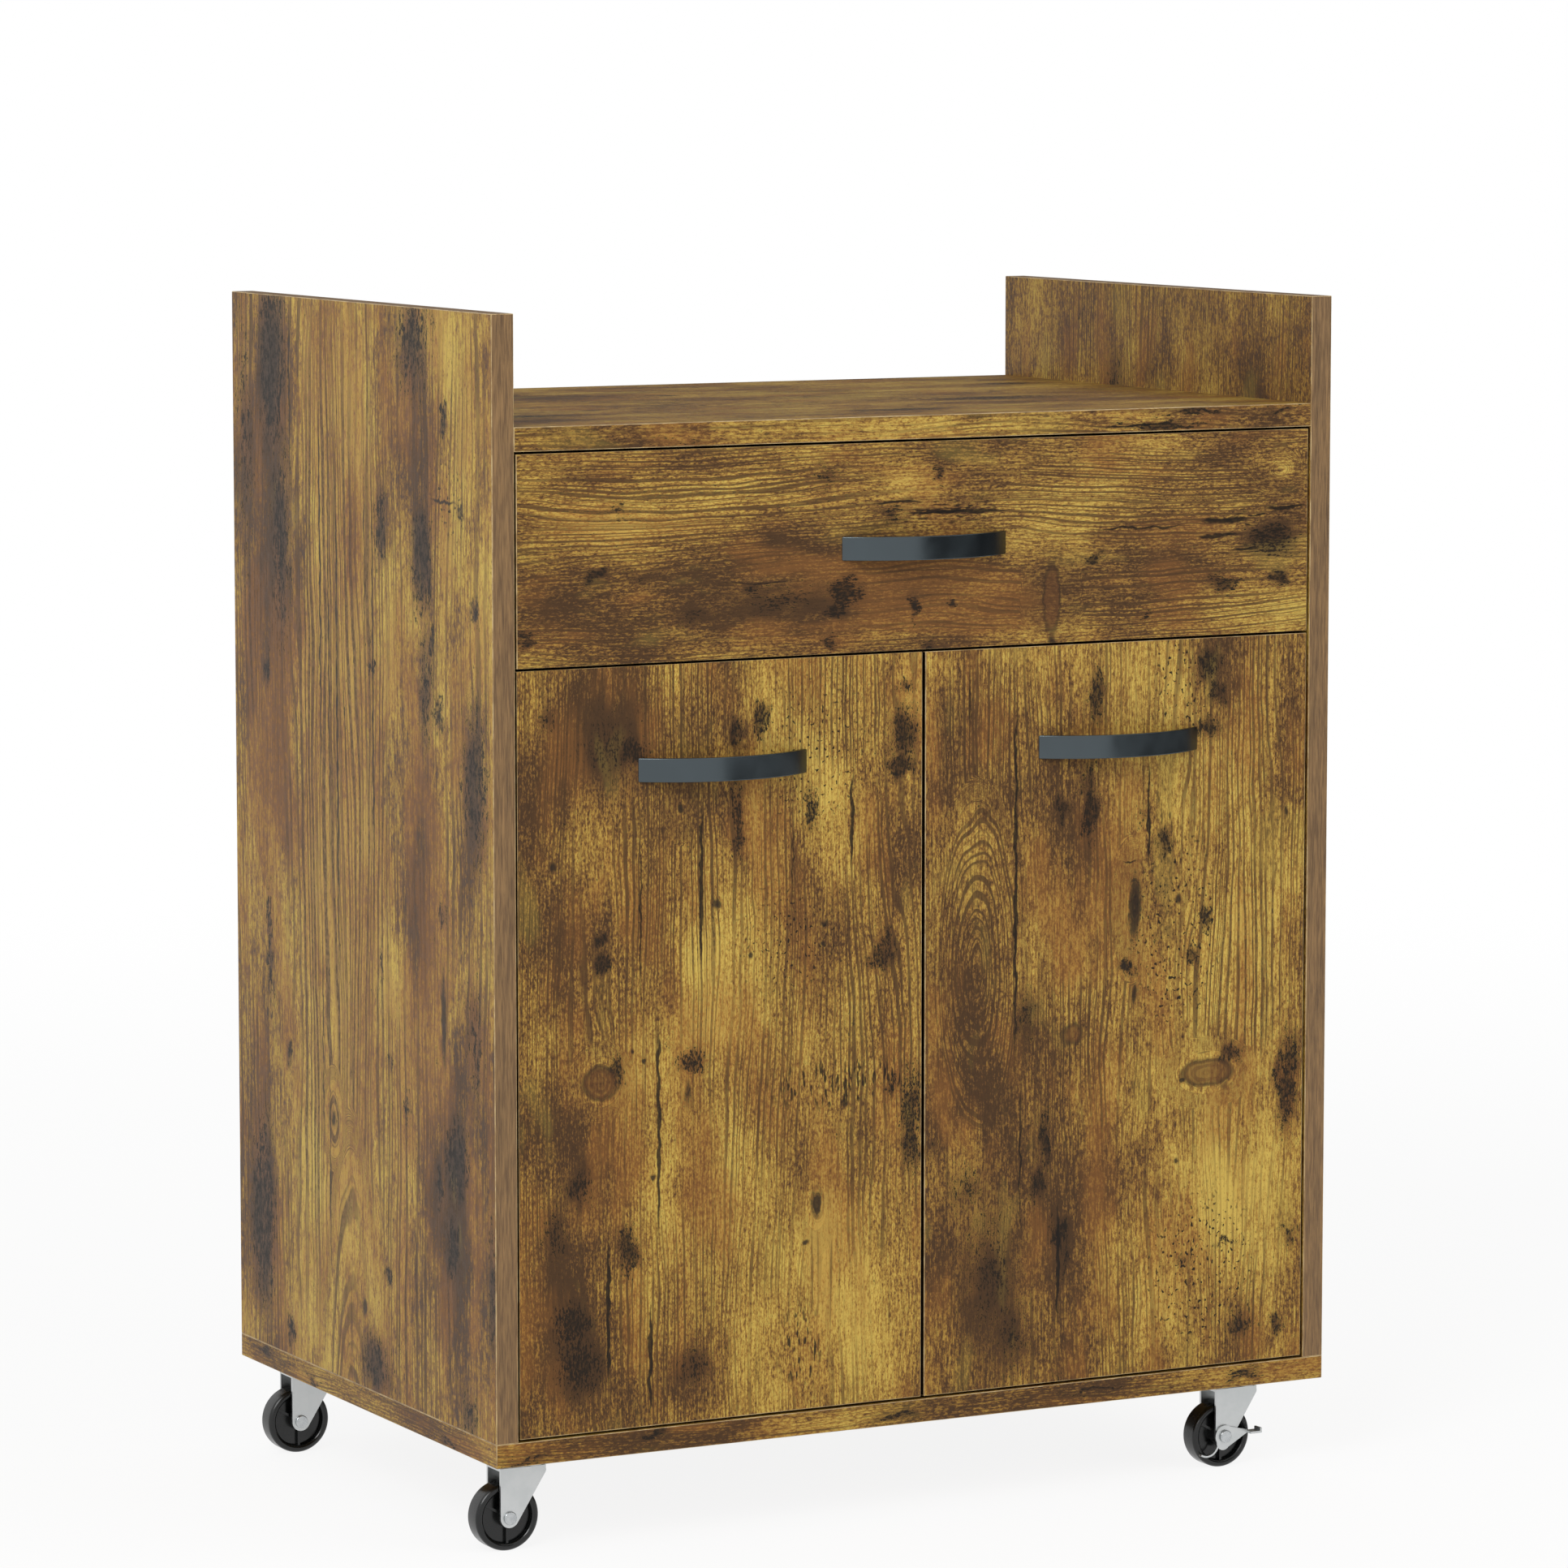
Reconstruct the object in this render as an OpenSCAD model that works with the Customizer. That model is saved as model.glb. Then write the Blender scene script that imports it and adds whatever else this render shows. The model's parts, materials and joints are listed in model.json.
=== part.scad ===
// Kitchen cart: a cabinet with a drawer, two doors and an open top tray, on four swivel casters.
// X runs to the right as seen from the front, Y to the back and Z up. The floor is z = 0.

/* [Cabinet] */
// Width over the side panels
cabinet_w = 600; // [520:1:800]
// Depth of the side panels
cabinet_d = 400; // [340:1:560]
// Height from the underside of the bottom board to the top of the side panels
body_h = 711; // [640:1:900]
// Thickness of the laminated boards of the cabinet
board_t = 15; // [14:0.5:20]
// Height of the side panels above the top shelf
tray_rise = 69; // [20:1:130]
// Thickness of the back panel
back_t = 3; // [2:0.5:5]
// Distance from the back panel to the rear edges of the side panels
back_inset = 10; // [5:1:14]
// Depth of the grooves for the back panel
groove_depth = 6; // [3:0.5:8]
// Depth of the rail between the drawer and the doors
rail_d = 60; // [40:1:100]
// Height of the inner shelf above the bottom board
shelf_level = 230; // [150:5:290]
// Distance from the side panels' front edges to the inner shelf
shelf_setback = 40; // [32:1:120]

/* [Fronts] */
// Thickness of the doors and of the drawer front
front_t = 15; // [14:0.5:20]
// How far the fronts lie behind the side panels' front edges
front_recess = 0.8; // [0:0.1:3]
// Gap round the doors and the drawer front
front_gap = 1.5; // [1:0.1:3]
// Gap between the two doors
door_gap = 2.2; // [1.4:0.1:4]
// Height of the drawer front
drawer_front_h = 131; // [126:1:180]

/* [Drawer box] */
// Thickness of the drawer's sides and back
drawer_side_t = 12; // [10:0.5:15]
// Height of the drawer's sides
drawer_side_h = 90; // [70:1:98]
// Space between the drawer box and the back panel
drawer_clear = 31.2; // [20:0.1:60]
// Height of the sides' lower edges above the drawer front's lower edge
drawer_lift = 22; // [16:1:26]
// Thickness of the drawer bottom
drawer_bottom_t = 3; // [2.5:0.5:5]
// Height of the drawer bottom above the sides' lower edges
bottom_lift = 8; // [6:1:12]
// Depth of the grooves for the drawer bottom
bottom_groove = 5; // [3:0.5:6]

/* [Runners] */
// Space between the drawer box and each side panel
runner_gap = 12.5; // [12.5:0.1:14]
// Height of the cabinet runner's channel
runner_h = 28; // [28:0.5:34]
// Distance from the runners' rear ends to the drawer box's back
runner_short = 3; // [0:0.5:40]
// Thickness of the runner sheet
sheet_t = 1.2; // [0.8:0.1:1.4]
// Radius of the rollers
roller_r = 9.5; // [7:0.1:10.5]
// Width of the rollers
roller_w = 6.5; // [5:0.1:6.9]
// Radius of the roller studs
stud_r = 2; // [1.5:0.1:3]
// Distance from a runner's end to its roller
roller_inset = 14; // [12:0.5:20]

/* [Handles] */
// Length of a handle
handle_l = 118; // [112:1:140]
// Height of the handle's strip
handle_h = 15; // [11:0.5:20]
// Thickness of the handle's strip
handle_t = 3; // [2:0.1:4.5]
// How far a handle stands out from the front that it is on
handle_reach = 20.8; // [19:0.1:30]
// Distance between a handle's two screws
handle_pitch = 96; // [64:1:98]
// Distance from a door's upper edge to the middle of its handle
handle_drop = 64.6; // [30:0.1:120]
// Radius of the handle screws
handle_screw_r = 2; // [1.5:0.1:2.2]

/* [Hinges] */
// Distance from a door's end to the middle of the hinge next to it
hinge_end = 80; // [50:1:110]
// Radius of the hinge cup
cup_r = 17.5; // [17:0.1:18]
// Depth of the hinge cup
cup_depth = 11; // [10.5:0.1:12]
// Distance from the hinge cup to the door's edge
cup_edge = 5; // [4.8:0.1:6]
// Thickness of the cup's wall
cup_wall = 1; // [0.8:0.1:1.1]
// Distance of the two screws of a cup from each other
cup_screw_pitch = 48; // [45:1:52]
// Width of the hinge arm
arm_w = 11; // [9:0.5:12]
// Thickness of the hinge plate
hinge_plate_t = 3; // [2:0.1:4]

/* [Casters] */
// Height of a caster, from the floor to the bottom board
caster_h = 60; // [59:0.5:70]
// Radius of the wheels
wheel_r = 21.5; // [19:0.1:22]
// Width of the wheels' treads
wheel_w = 15; // [11:0.5:15.5]
// Radius of the rounded tread edges
tread_edge = 2.5; // [1:0.1:2.9]
// Thickness of the tread ring
tread_t = 3.1; // [3:0.1:5]
// Thickness of the wheels' webs
web_t = 7; // [4:0.5:9]
// Distance from a caster's swivel axis to the cabinet's side
caster_inset_x = 40; // [40:1:80]
// Distance from a caster's swivel axis to the cabinet's front or back
caster_inset_y = 38; // [30:1:70]
// How far the axle trails behind the swivel axis
trail = 18; // [15:0.5:18]
// Radius of the axles
axle_r = 3; // [2:0.1:3.3]
// Width over the fork's side plates
fork_w = 20.6; // [20:0.1:24]
// Thickness of the fork's sheet
fork_t = 1.8; // [1.2:0.1:2]
// Radius of the fork's lower ends
fork_toe_r = 6.3; // [5.8:0.1:8]
// Slant of the fork's back edge from the vertical
fork_slant = 32.5; // [31:0.5:38]
// Width of the square caster plate
plate_w = 42; // [40:1:50]
// Thickness of the caster plate
plate_t = 2.5; // [2:0.1:3]
// Radius of the kingpin
kingpin_r = 4; // [3:0.1:4.5]
// Height of the swivel race under the caster plate
race_h = 4.5; // [3:0.1:4.5]
// Thickness of the brake lever
lever_t = 1.4; // [1:0.1:2]

/* [Fasteners] */
// Radius of the pan head screws
screw_r = 1.75; // [1.5:0.05:2]
// Length of the pan head screws under the head
screw_l = 12; // [9:0.5:12.5]
// Radius of the pan heads
screw_head_r = 3.5; // [2.5:0.1:3.8]
// Radius of the long base screws
base_screw_r = 3.2; // [2:0.1:3.5]
// Length of the long base screws
base_screw_l = 50; // [40:1:60]
// Radius of the cam locks
cam_r = 7.5; // [6.5:0.1:8]
// Distance from a board's end to its cam lock
cam_reach = 34; // [24:1:40]
// Radius of the cam bolts
cam_bolt_r = 3.5; // [2.5:0.1:3.6]
// Radius of the shelf pins
pin_r = 2.5; // [2:0.1:3]

/* [Hidden] */
$fn = 64;
bow_fn = 360;

// Overshoot of a cut past the face that it opens
cut = 1;
// Clearance round a fixed fastener, and round a thin panel in its groove
fit_slack = 0.05;
groove_slack = 0.1;
// Clearance round a turning shaft, and beside a turning part
run_slack = 0.05;
side_play = 0.2;

// Heights
base_z = caster_h;
panel_z = base_z + board_t;
top_z = base_z + body_h;
shelf_top_z = top_z - tray_rise;
shelf_z = shelf_top_z - board_t;
drawer_z1 = shelf_z - front_gap;
drawer_z0 = drawer_z1 - drawer_front_h;
door_z1 = drawer_z0 - front_gap;
door_z0 = panel_z + front_gap;
rail_z = drawer_z0 - (front_gap + board_t) / 2;
inner_shelf_z = panel_z + shelf_level;

// Places across the width
inner_x = cabinet_w / 2 - board_t;
front_x = inner_x - front_gap;

// Places along the depth, with the handles' outer faces and the back edges equally far from y = 0
whole_d = cabinet_d + handle_reach - front_recess;
y_front = handle_reach - front_recess - whole_d / 2;
y_back = y_front + cabinet_d;
face_y = y_front + front_recess;
rear_y = face_y + front_t;
back_y1 = y_back - back_inset;
back_y0 = back_y1 - back_t;
drawer_box_d = back_y0 - rear_y - drawer_clear;
rail_gap = 1.2;
rail_y = rear_y + rail_gap;

// Inner shelf
shelf_end_gap = 1;
shelf_back_gap = 2;
pin_in = 8;
pin_out = 8;
pin_setback = 50;

// Fasteners
screw_head_h = 1.8;
base_head_r = 5;
base_head_h = 3.5;
base_screw_inset = 90;
cam_h = 12.5;
cam_end = 60;
cam_thread_r = 2.4;
cam_thread_l = 10;
cam_sites = [
    [y_front + cam_end, shelf_z],
    [y_back - cam_end, shelf_z],
    [rail_y + rail_d / 2, rail_z]
];

// Drawer box
box_x = inner_x - runner_gap;
box_inner_x = box_x - drawer_side_t;
box_z = drawer_z0 + drawer_lift;
box_top_z = box_z + drawer_side_h;
box_back_y = rear_y + drawer_box_d;
floor_z = box_z + bottom_lift;
floor_top_z = floor_z + drawer_bottom_t;
corner_screw_r = 2;
corner_screw_l = 30;
corner_head_r = 3.6;
corner_head_h = 2;
corner_screw_ends = [16, 20];

// Runners: z of the middle of the channel, and of the rollers
runner_z = box_z - sheet_t + runner_h / 2;
roller_play = 0.3;
roller_z = runner_z - runner_h / 2 + sheet_t + roller_play + roller_r;
track_z = roller_z + roller_r + roller_play;
lip_gap = 0.8;
web_in = runner_gap - sheet_t;
runner_start = 2;
runner_y = rear_y + runner_start;
runner_end_y = box_back_y - runner_short;
front_roller_y = runner_y + roller_inset;
rear_roller_y = runner_end_y - roller_inset;
front_roller_in = sheet_t + 1;
rear_roller_in = web_in - lip_gap - roller_w;
stud_head_r = 3.2;
stud_head_t = 1;
runner_screw_inset = 45;
runner_screw_ys = [
    runner_y + runner_screw_inset, (runner_y + runner_end_y) / 2, runner_end_y - runner_screw_inset
];

// Handles
handle_bow_r = (pow(handle_l / 2, 2) + pow(handle_reach, 2)) / (2 * handle_reach);
handle_boss_r = 5;
handle_bite = 4.5;
handle_head_r = 4;
handle_head_h = 2.5;
door_mid_x = (front_x + door_gap / 2) / 2;
drawer_handle_z = (drawer_z0 + drawer_z1) / 2;
door_handle_z = door_z1 - handle_drop;

// Hinges: places are counted from the door's hinge edge inwards and from its face backwards
hinge_zs = [door_z0 + hinge_end, door_z1 - hinge_end];
cup_in = cup_edge + cup_r;
cup_slack = 0.1;
flange_r = cup_r + 1.5;
flange_t = 1.2;
ear_in = 9.5;
ear_w = 14;
ear_over = 5;
arm_nose_w = 8;
arm_nose_over = 1.5;
arm_nose_sunk = 5.5;
arm_knee = 8;
arm_start = 24;
arm_end = 76;
arm_lift = 9;
arm_lean = 2;
hinge_plate_h = 46;
hinge_plate_start = 28;
hinge_plate_l = 34;
hinge_plate_ys = [front_t + hinge_plate_start, front_t + hinge_plate_start + hinge_plate_l];
hinge_screw_pitch = 32;
hinge_screw_y = (hinge_plate_ys[0] + hinge_plate_ys[1]) / 2;

// Catches under the rail
catch_x = 60;
catch_body_w = 28;
catch_w = 44;
catch_d = 15;
catch_h = 13;
catch_ear_t = 3;
catch_gap = 0.3;
strike_t = 1;
strike_w = 36;
strike_h = 15;
strike_pin_r = 2.5;
strike_pin_l = 8;
catch_y = rear_y + strike_t + catch_gap;
magnet_w = 22;
magnet_d = 9;
magnet_h = 7;
magnet_z = rail_z - catch_ear_t - (catch_h - catch_ear_t) / 2;

// Casters, measured from the swivel axis and the floor
caster_x = cabinet_w / 2 - caster_inset_x;
caster_ys = [y_front + caster_inset_y, y_back - caster_inset_y];
plate_z = base_z - plate_t;
crown_z = plate_z - race_h;
race_r = 11;
kingpin_head_r = 6;
kingpin_head_h = 2;
plate_screw_in = 5.5;
hub_r = 6.5;
fork_inner_w = fork_w - 2 * fork_t;
hub_w = fork_inner_w - 2 * side_play;
rim_r = wheel_r - tread_t;
rim_bite = tread_t / 4;
rib_count = 3;
rib_t = 1.6;
rib_w = wheel_w - 3;
rivet_head_r = 4.2;
rivet_head_t = 1.5;
fork_corner_r = 3;

// Brake lever, measured from the axle
lever_r = 7.3;
lever_lobe_r = 5;
lever_lobe = [-1.4, -4.1];
lever_tail = [17, 3];
lever_tail_h = 2;
lip_center = [-13.5, -4];
lip_r = 8.5;
lip_t = 1.2;
lip_from = 238;
lip_to = 346;
pedal_l = 7.5;
pedal_w = 7.5;
pedal_rise = 3.4;
lever_inside = 0.95;
lever_shoulder = 25;
lever_heel = 50;
lever_sunk = 0.2;

// Colours
laminate = "#8a6232";
hardboard = "#7a5c3e";
box_board = "#8f6c44";
black_metal = "#33383b";
zinc = "#c0c2c1";
steel = "#9fa2a4";
black_plastic = "#18191a";
nylon = "#e6e4dc";
dark_magnet = "#3c3c3e";

// A block between two places along each axis
module block(xs, ys, zs) {
    translate([xs[0], ys[0], zs[0]])
        cube([xs[1] - xs[0], ys[1] - ys[0], zs[1] - zs[0]]);
}

// What is drawn for the right side, on the right (1) or the left (-1)
module on_side(side) {
    if (side > 0) children();
    else mirror([1, 0, 0]) children();
}

module on_both_sides() {
    for (side = [-1, 1]) on_side(side) children();
}

// Rods along X and along Y, from a point
module rod_x(from, r, l) {
    translate(from) rotate([0, 90, 0]) cylinder(r = r, h = l);
}

module rod_y(from, r, l) {
    translate(from) rotate([-90, 0, 0]) cylinder(r = r, h = l);
}

// Pan head screw whose head rests on z = 0 and whose shank points down
module pan_screw(slack = 0) {
    translate([0, 0, -screw_l - slack]) cylinder(r = screw_r + slack, h = screw_l + slack);
    cylinder(r = screw_head_r + slack, h = screw_head_h + slack);
}

module screw_hole(depth) {
    translate([0, 0, -depth - fit_slack]) cylinder(r = screw_r + fit_slack, h = depth + 2 * cut);
}

// Places of the fasteners
module at_base_screws() {
    for (y = [y_front + base_screw_inset, (y_front + y_back) / 2, y_back - base_screw_inset])
        on_both_sides() translate([cabinet_w / 2 - board_t / 2, y, base_z]) children();
}

module at_cams() {
    for (site = cam_sites) on_both_sides() translate([inner_x, site[0], site[1]]) children();
}

module at_shelf_pins() {
    for (y = [y_front + shelf_setback + pin_setback, back_y0 - shelf_back_gap - pin_setback])
        on_both_sides() translate([inner_x, y, inner_shelf_z - pin_r]) children();
}

module at_casters() {
    for (y = caster_ys, side = [-1, 1]) translate([side * caster_x, y, 0]) children();
}

module at_plate_screws() {
    reach = plate_w / 2 - plate_screw_in;
    at_casters() for (i = [-1, 1], j = [-1, 1])
        translate([i * reach, j * reach, plate_z]) rotate([180, 0, 0]) children();
}

module at_hinge_screws() {
    for (z = hinge_zs, dz = [-1, 1]) on_both_sides()
        translate([inner_x - hinge_plate_t, face_y + hinge_screw_y, z + dz * hinge_screw_pitch / 2])
            rotate([0, -90, 0]) children();
}

module at_runner_screws() {
    for (y = runner_screw_ys) on_both_sides()
        translate([inner_x - sheet_t, y, runner_z]) rotate([0, -90, 0]) children();
}

module at_catch_screws() {
    reach = (catch_body_w + catch_w) / 4;
    for (dx = [-1, 1]) on_both_sides()
        translate([catch_x + dx * reach, catch_y + catch_d / 2, rail_z - catch_ear_t])
            rotate([180, 0, 0]) children();
}

module at_cup_screws() {
    for (z = hinge_zs, dz = [-1, 1])
        translate([front_x - cup_in - ear_in, rear_y + flange_t, z + dz * cup_screw_pitch / 2])
            rotate([-90, 0, 0]) children();
}

// Long base screw, head flush with the underside of the board
module base_screw(slack = 0) {
    translate([0, 0, -slack]) cylinder(r = base_screw_r + slack, h = base_screw_l + 2 * slack);
    translate([0, 0, -slack]) cylinder(r = base_head_r + slack, h = base_head_h + 2 * slack);
}

// Hole for a cam lock, and for the bolt that reaches into it
module cam_hole() {
    translate([-cam_reach, 0, -cut]) cylinder(r = cam_r + fit_slack, h = cam_h + cut + fit_slack);
    cam_bolt(fit_slack);
}

module cam_bolt(slack = 0) {
    rod_x([-cam_reach - slack, 0, board_t / 2], cam_bolt_r + slack, cam_reach + slack);
    rod_x([-slack, 0, board_t / 2], cam_thread_r + slack, cam_thread_l + 2 * slack);
}

// Cabinet boards
module bottom_board() {
    color(laminate) difference() {
        block([-cabinet_w / 2, cabinet_w / 2], [y_front, y_back], [base_z, panel_z]);
        block([-inner_x - groove_depth, inner_x + groove_depth],
            [back_y0 - groove_slack, back_y1 + groove_slack], [panel_z - groove_depth, panel_z + cut]);
        at_base_screws() base_screw(fit_slack);
        at_plate_screws() screw_hole(screw_l);
    }
}

module side_panel(side) {
    color(laminate) difference() {
        on_side(side) difference() {
            block([inner_x, cabinet_w / 2], [y_front, y_back], [panel_z, top_z]);
            block([inner_x - cut, inner_x + groove_depth],
                [back_y0 - groove_slack, back_y1 + groove_slack], [panel_z - cut, shelf_z + groove_depth]);
        }
        at_base_screws() base_screw(fit_slack);
        at_cams() cam_bolt(fit_slack);
        at_shelf_pins() rod_x([-cut, 0, 0], pin_r + fit_slack, pin_in + cut + fit_slack);
        at_hinge_screws() screw_hole(screw_l);
        at_runner_screws() screw_hole(screw_l);
    }
}

module left_side_panel() { side_panel(-1); }
module right_side_panel() { side_panel(1); }

module top_shelf() {
    color(laminate) difference() {
        block([-inner_x, inner_x], [y_front, y_back], [shelf_z, shelf_top_z]);
        block([-inner_x - cut, inner_x + cut],
            [back_y0 - groove_slack, back_y1 + groove_slack], [shelf_z - cut, shelf_z + groove_depth]);
        at_cams() cam_hole();
    }
}

module inner_shelf() {
    color(box_board) block([-inner_x + shelf_end_gap, inner_x - shelf_end_gap],
        [y_front + shelf_setback, back_y0 - shelf_back_gap], [inner_shelf_z, inner_shelf_z + board_t]);
}

module back_panel() {
    reach = groove_depth - groove_slack;
    color(hardboard) block([-inner_x - reach, inner_x + reach], [back_y0, back_y1],
        [panel_z - reach, shelf_z + reach]);
}

module front_rail() {
    color(box_board) difference() {
        block([-inner_x, inner_x], [rail_y, rail_y + rail_d], [rail_z, rail_z + board_t]);
        at_cams() cam_hole();
        at_catch_screws() screw_hole(screw_l);
    }
}

// Cabinet hardware
module shelf_pins() {
    color(steel) at_shelf_pins() rod_x([-pin_out, 0, 0], pin_r, pin_out + pin_in);
}

module cam_locks() {
    color(zinc) at_cams() difference() {
        translate([-cam_reach, 0, 0]) cylinder(r = cam_r, h = cam_h);
        cam_bolt(fit_slack);
    }
}

module cam_bolts() {
    color(steel) at_cams() cam_bolt();
}

module base_screws() {
    color(steel) at_base_screws() base_screw();
}

module pan_head_screws() {
    color(zinc) {
        at_plate_screws() pan_screw();
        at_hinge_screws() pan_screw();
        at_runner_screws() pan_screw();
        at_catch_screws() pan_screw();
    }
}

// Channel that opens towards the drawer, with the stud of its front roller
module cabinet_runner(side) {
    low = runner_z - runner_h / 2;
    high = runner_z + runner_h / 2;
    lip_x = inner_x - web_in + lip_gap;
    ys = [runner_y, runner_end_y];
    stud_out = front_roller_in + roller_w + side_play;
    color(zinc) on_side(side) {
        difference() {
            union() {
                block([inner_x - sheet_t, inner_x], ys, [low, high]);
                block([lip_x, inner_x], ys, [low, low + sheet_t]);
                block([lip_x, inner_x], ys, [high - sheet_t, high]);
            }
            at_runner_screws() screw_hole(screw_l);
        }
        rod_x([inner_x - stud_out, front_roller_y, roller_z], stud_r, stud_out - sheet_t / 2);
        rod_x([inner_x - stud_out - stud_head_t, front_roller_y, roller_z], stud_head_r, stud_head_t);
    }
}

module left_cabinet_runner() { cabinet_runner(-1); }
module right_cabinet_runner() { cabinet_runner(1); }

// Angle under the drawer side, with the track that runs on the front roller and its own rear roller's stud
module drawer_runner(side) {
    low = runner_z - runner_h / 2;
    track_x = inner_x - front_roller_in;
    web_x = inner_x - web_in;
    ys = [rear_y + side_play, runner_end_y];
    color(zinc) on_side(side) {
        block([box_x, web_x], ys, [low, track_z + sheet_t]);
        block([box_x, track_x], ys, [track_z, track_z + sheet_t]);
        block([box_inner_x, web_x], ys, [low, low + sheet_t]);
        rod_x([box_x + sheet_t / 2, rear_roller_y, roller_z], stud_r,
            web_in + sheet_t / 2 - rear_roller_in);
    }
}

module left_drawer_runner() { drawer_runner(-1); }
module right_drawer_runner() { drawer_runner(1); }

// Roller whose outer face lies inwards of the side panel by the given distance
module roller(side, inwards, y) {
    color(nylon) on_side(side) difference() {
        rod_x([inner_x - inwards - roller_w, y, roller_z], roller_r, roller_w);
        rod_x([inner_x - inwards - roller_w - cut, y, roller_z], stud_r + run_slack, roller_w + 2 * cut);
    }
}

module left_cabinet_roller() { roller(-1, front_roller_in, front_roller_y); }
module right_cabinet_roller() { roller(1, front_roller_in, front_roller_y); }
module left_drawer_roller() { roller(-1, rear_roller_in, rear_roller_y); }
module right_drawer_roller() { roller(1, rear_roller_in, rear_roller_y); }

// Plates on the side panels that carry the hinge arms
module hinge_plates() {
    color(zinc) difference() {
        for (z = hinge_zs) on_both_sides() {
            block([inner_x - hinge_plate_t, inner_x],
                [face_y + hinge_plate_ys[0], face_y + hinge_plate_ys[1]],
                [z - arm_w / 2, z + arm_w / 2]);
            block([inner_x - hinge_plate_t, inner_x],
                [face_y + hinge_screw_y - 2 * screw_head_r, face_y + hinge_screw_y + 2 * screw_head_r],
                [z - hinge_plate_h / 2, z + hinge_plate_h / 2]);
        }
        at_hinge_screws() screw_hole(screw_l);
    }
}

// Side view of the cranked arm: first the distance from the door's hinge edge, then from its face
module arm_outline() {
    foot = hinge_plate_t - front_gap;
    nose = [cup_in + arm_nose_over - arm_nose_w, cup_in + arm_nose_over];
    polygon([
        [nose[0], front_t - arm_nose_sunk], [nose[1], front_t - arm_nose_sunk],
        [nose[1], front_t + arm_knee], [foot + arm_lift, front_t + arm_start],
        [foot + arm_lift, front_t + arm_end], [foot, front_t + arm_end],
        [foot, front_t + arm_start - arm_lean], [nose[0], front_t + arm_knee - arm_lean]
    ]);
}

module hinge_arms() {
    color(steel) for (z = hinge_zs) on_both_sides()
        translate([front_x, face_y, z - arm_w / 2]) mirror([1, 0, 0])
            linear_extrude(arm_w) arm_outline();
}

// The magnet of a catch, and with slack the pocket for it, which is open to the front
module catch_magnet_block(slack = 0, open = 0) {
    block([catch_x - magnet_w / 2 - slack, catch_x + magnet_w / 2 + slack],
        [catch_y - open, catch_y + magnet_d + slack],
        [magnet_z - magnet_h / 2 - slack, magnet_z + magnet_h / 2 + slack]);
}

module catch_cases() {
    color(nylon) difference() {
        on_both_sides() difference() {
            union() {
                block([catch_x - catch_body_w / 2, catch_x + catch_body_w / 2],
                    [catch_y, catch_y + catch_d], [rail_z - catch_h, rail_z]);
                block([catch_x - catch_w / 2, catch_x + catch_w / 2],
                    [catch_y, catch_y + catch_d], [rail_z - catch_ear_t, rail_z]);
            }
            catch_magnet_block(fit_slack, cut);
        }
        at_catch_screws() screw_hole(screw_l);
    }
}

module catch_magnets() {
    color(dark_magnet) on_both_sides() catch_magnet_block();
}

// Drawer
module drawer_front() {
    color(laminate) difference() {
        block([-front_x, front_x], [face_y, rear_y], [drawer_z0, drawer_z1]);
        block([-box_inner_x - bottom_groove, box_inner_x + bottom_groove],
            [rear_y - bottom_groove, rear_y + cut],
            [floor_z - groove_slack, floor_top_z + groove_slack]);
        translate([0, 0, drawer_handle_z]) handle_screw_holes();
    }
}

module drawer_side(side) {
    color(box_board) difference() {
        on_side(side) difference() {
            block([box_inner_x, box_x], [rear_y, box_back_y], [box_z, box_top_z]);
            block([box_inner_x - cut, box_inner_x + bottom_groove], [rear_y - cut, box_back_y + cut],
                [floor_z - groove_slack, floor_top_z + groove_slack]);
        }
        at_corner_screws() corner_screw(fit_slack);
    }
}

module drawer_left_side() { drawer_side(-1); }
module drawer_right_side() { drawer_side(1); }

module drawer_back() {
    color(box_board) difference() {
        block([-box_inner_x, box_inner_x], [box_back_y - drawer_side_t, box_back_y],
            [floor_top_z + groove_slack, box_top_z]);
        at_corner_screws() corner_screw(fit_slack);
    }
}

module drawer_bottom() {
    reach = box_inner_x + bottom_groove - groove_slack;
    color(hardboard) block([-reach, reach],
        [rear_y - bottom_groove + groove_slack, box_back_y], [floor_z, floor_top_z]);
}

module at_corner_screws() {
    for (z = [floor_top_z + corner_screw_ends[0], box_top_z - corner_screw_ends[1]])
        on_both_sides() translate([box_x, box_back_y - drawer_side_t / 2, z]) children();
}

module corner_screw(slack = 0) {
    rod_x([-corner_screw_l - slack, 0, 0], corner_screw_r + slack, corner_screw_l + 2 * slack);
    rod_x([-corner_head_h - slack, 0, 0], corner_head_r + slack, corner_head_h + 2 * slack);
}

module drawer_corner_screws() {
    color(steel) at_corner_screws() corner_screw();
}

// Bow handle, with its middle on the face that it is fixed to
module bow_handle() {
    bow_y = face_y + handle_bow_r - handle_reach;
    difference() {
        intersection() {
            translate([0, bow_y, -handle_h / 2]) cylinder(r = handle_bow_r, h = handle_h, $fn = bow_fn);
            block([-handle_l / 2, handle_l / 2], [face_y - handle_reach, face_y],
                [-handle_h / 2, handle_h / 2]);
            union() {
                difference() {
                    block([-handle_l / 2, handle_l / 2], [face_y - handle_reach, face_y],
                        [-handle_h / 2, handle_h / 2]);
                    translate([0, bow_y, -handle_h])
                        cylinder(r = handle_bow_r - handle_t, h = 2 * handle_h, $fn = bow_fn);
                }
                for (side = [-1, 1]) rod_y([side * handle_pitch / 2, face_y - handle_reach, 0],
                    handle_boss_r, handle_reach);
            }
        }
        handle_screw_holes();
    }
}

module handle_screw(slack = 0) {
    rod_y([0, face_y - handle_bite - slack, 0], handle_screw_r + slack,
        handle_bite + front_t + 2 * slack);
}

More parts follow.
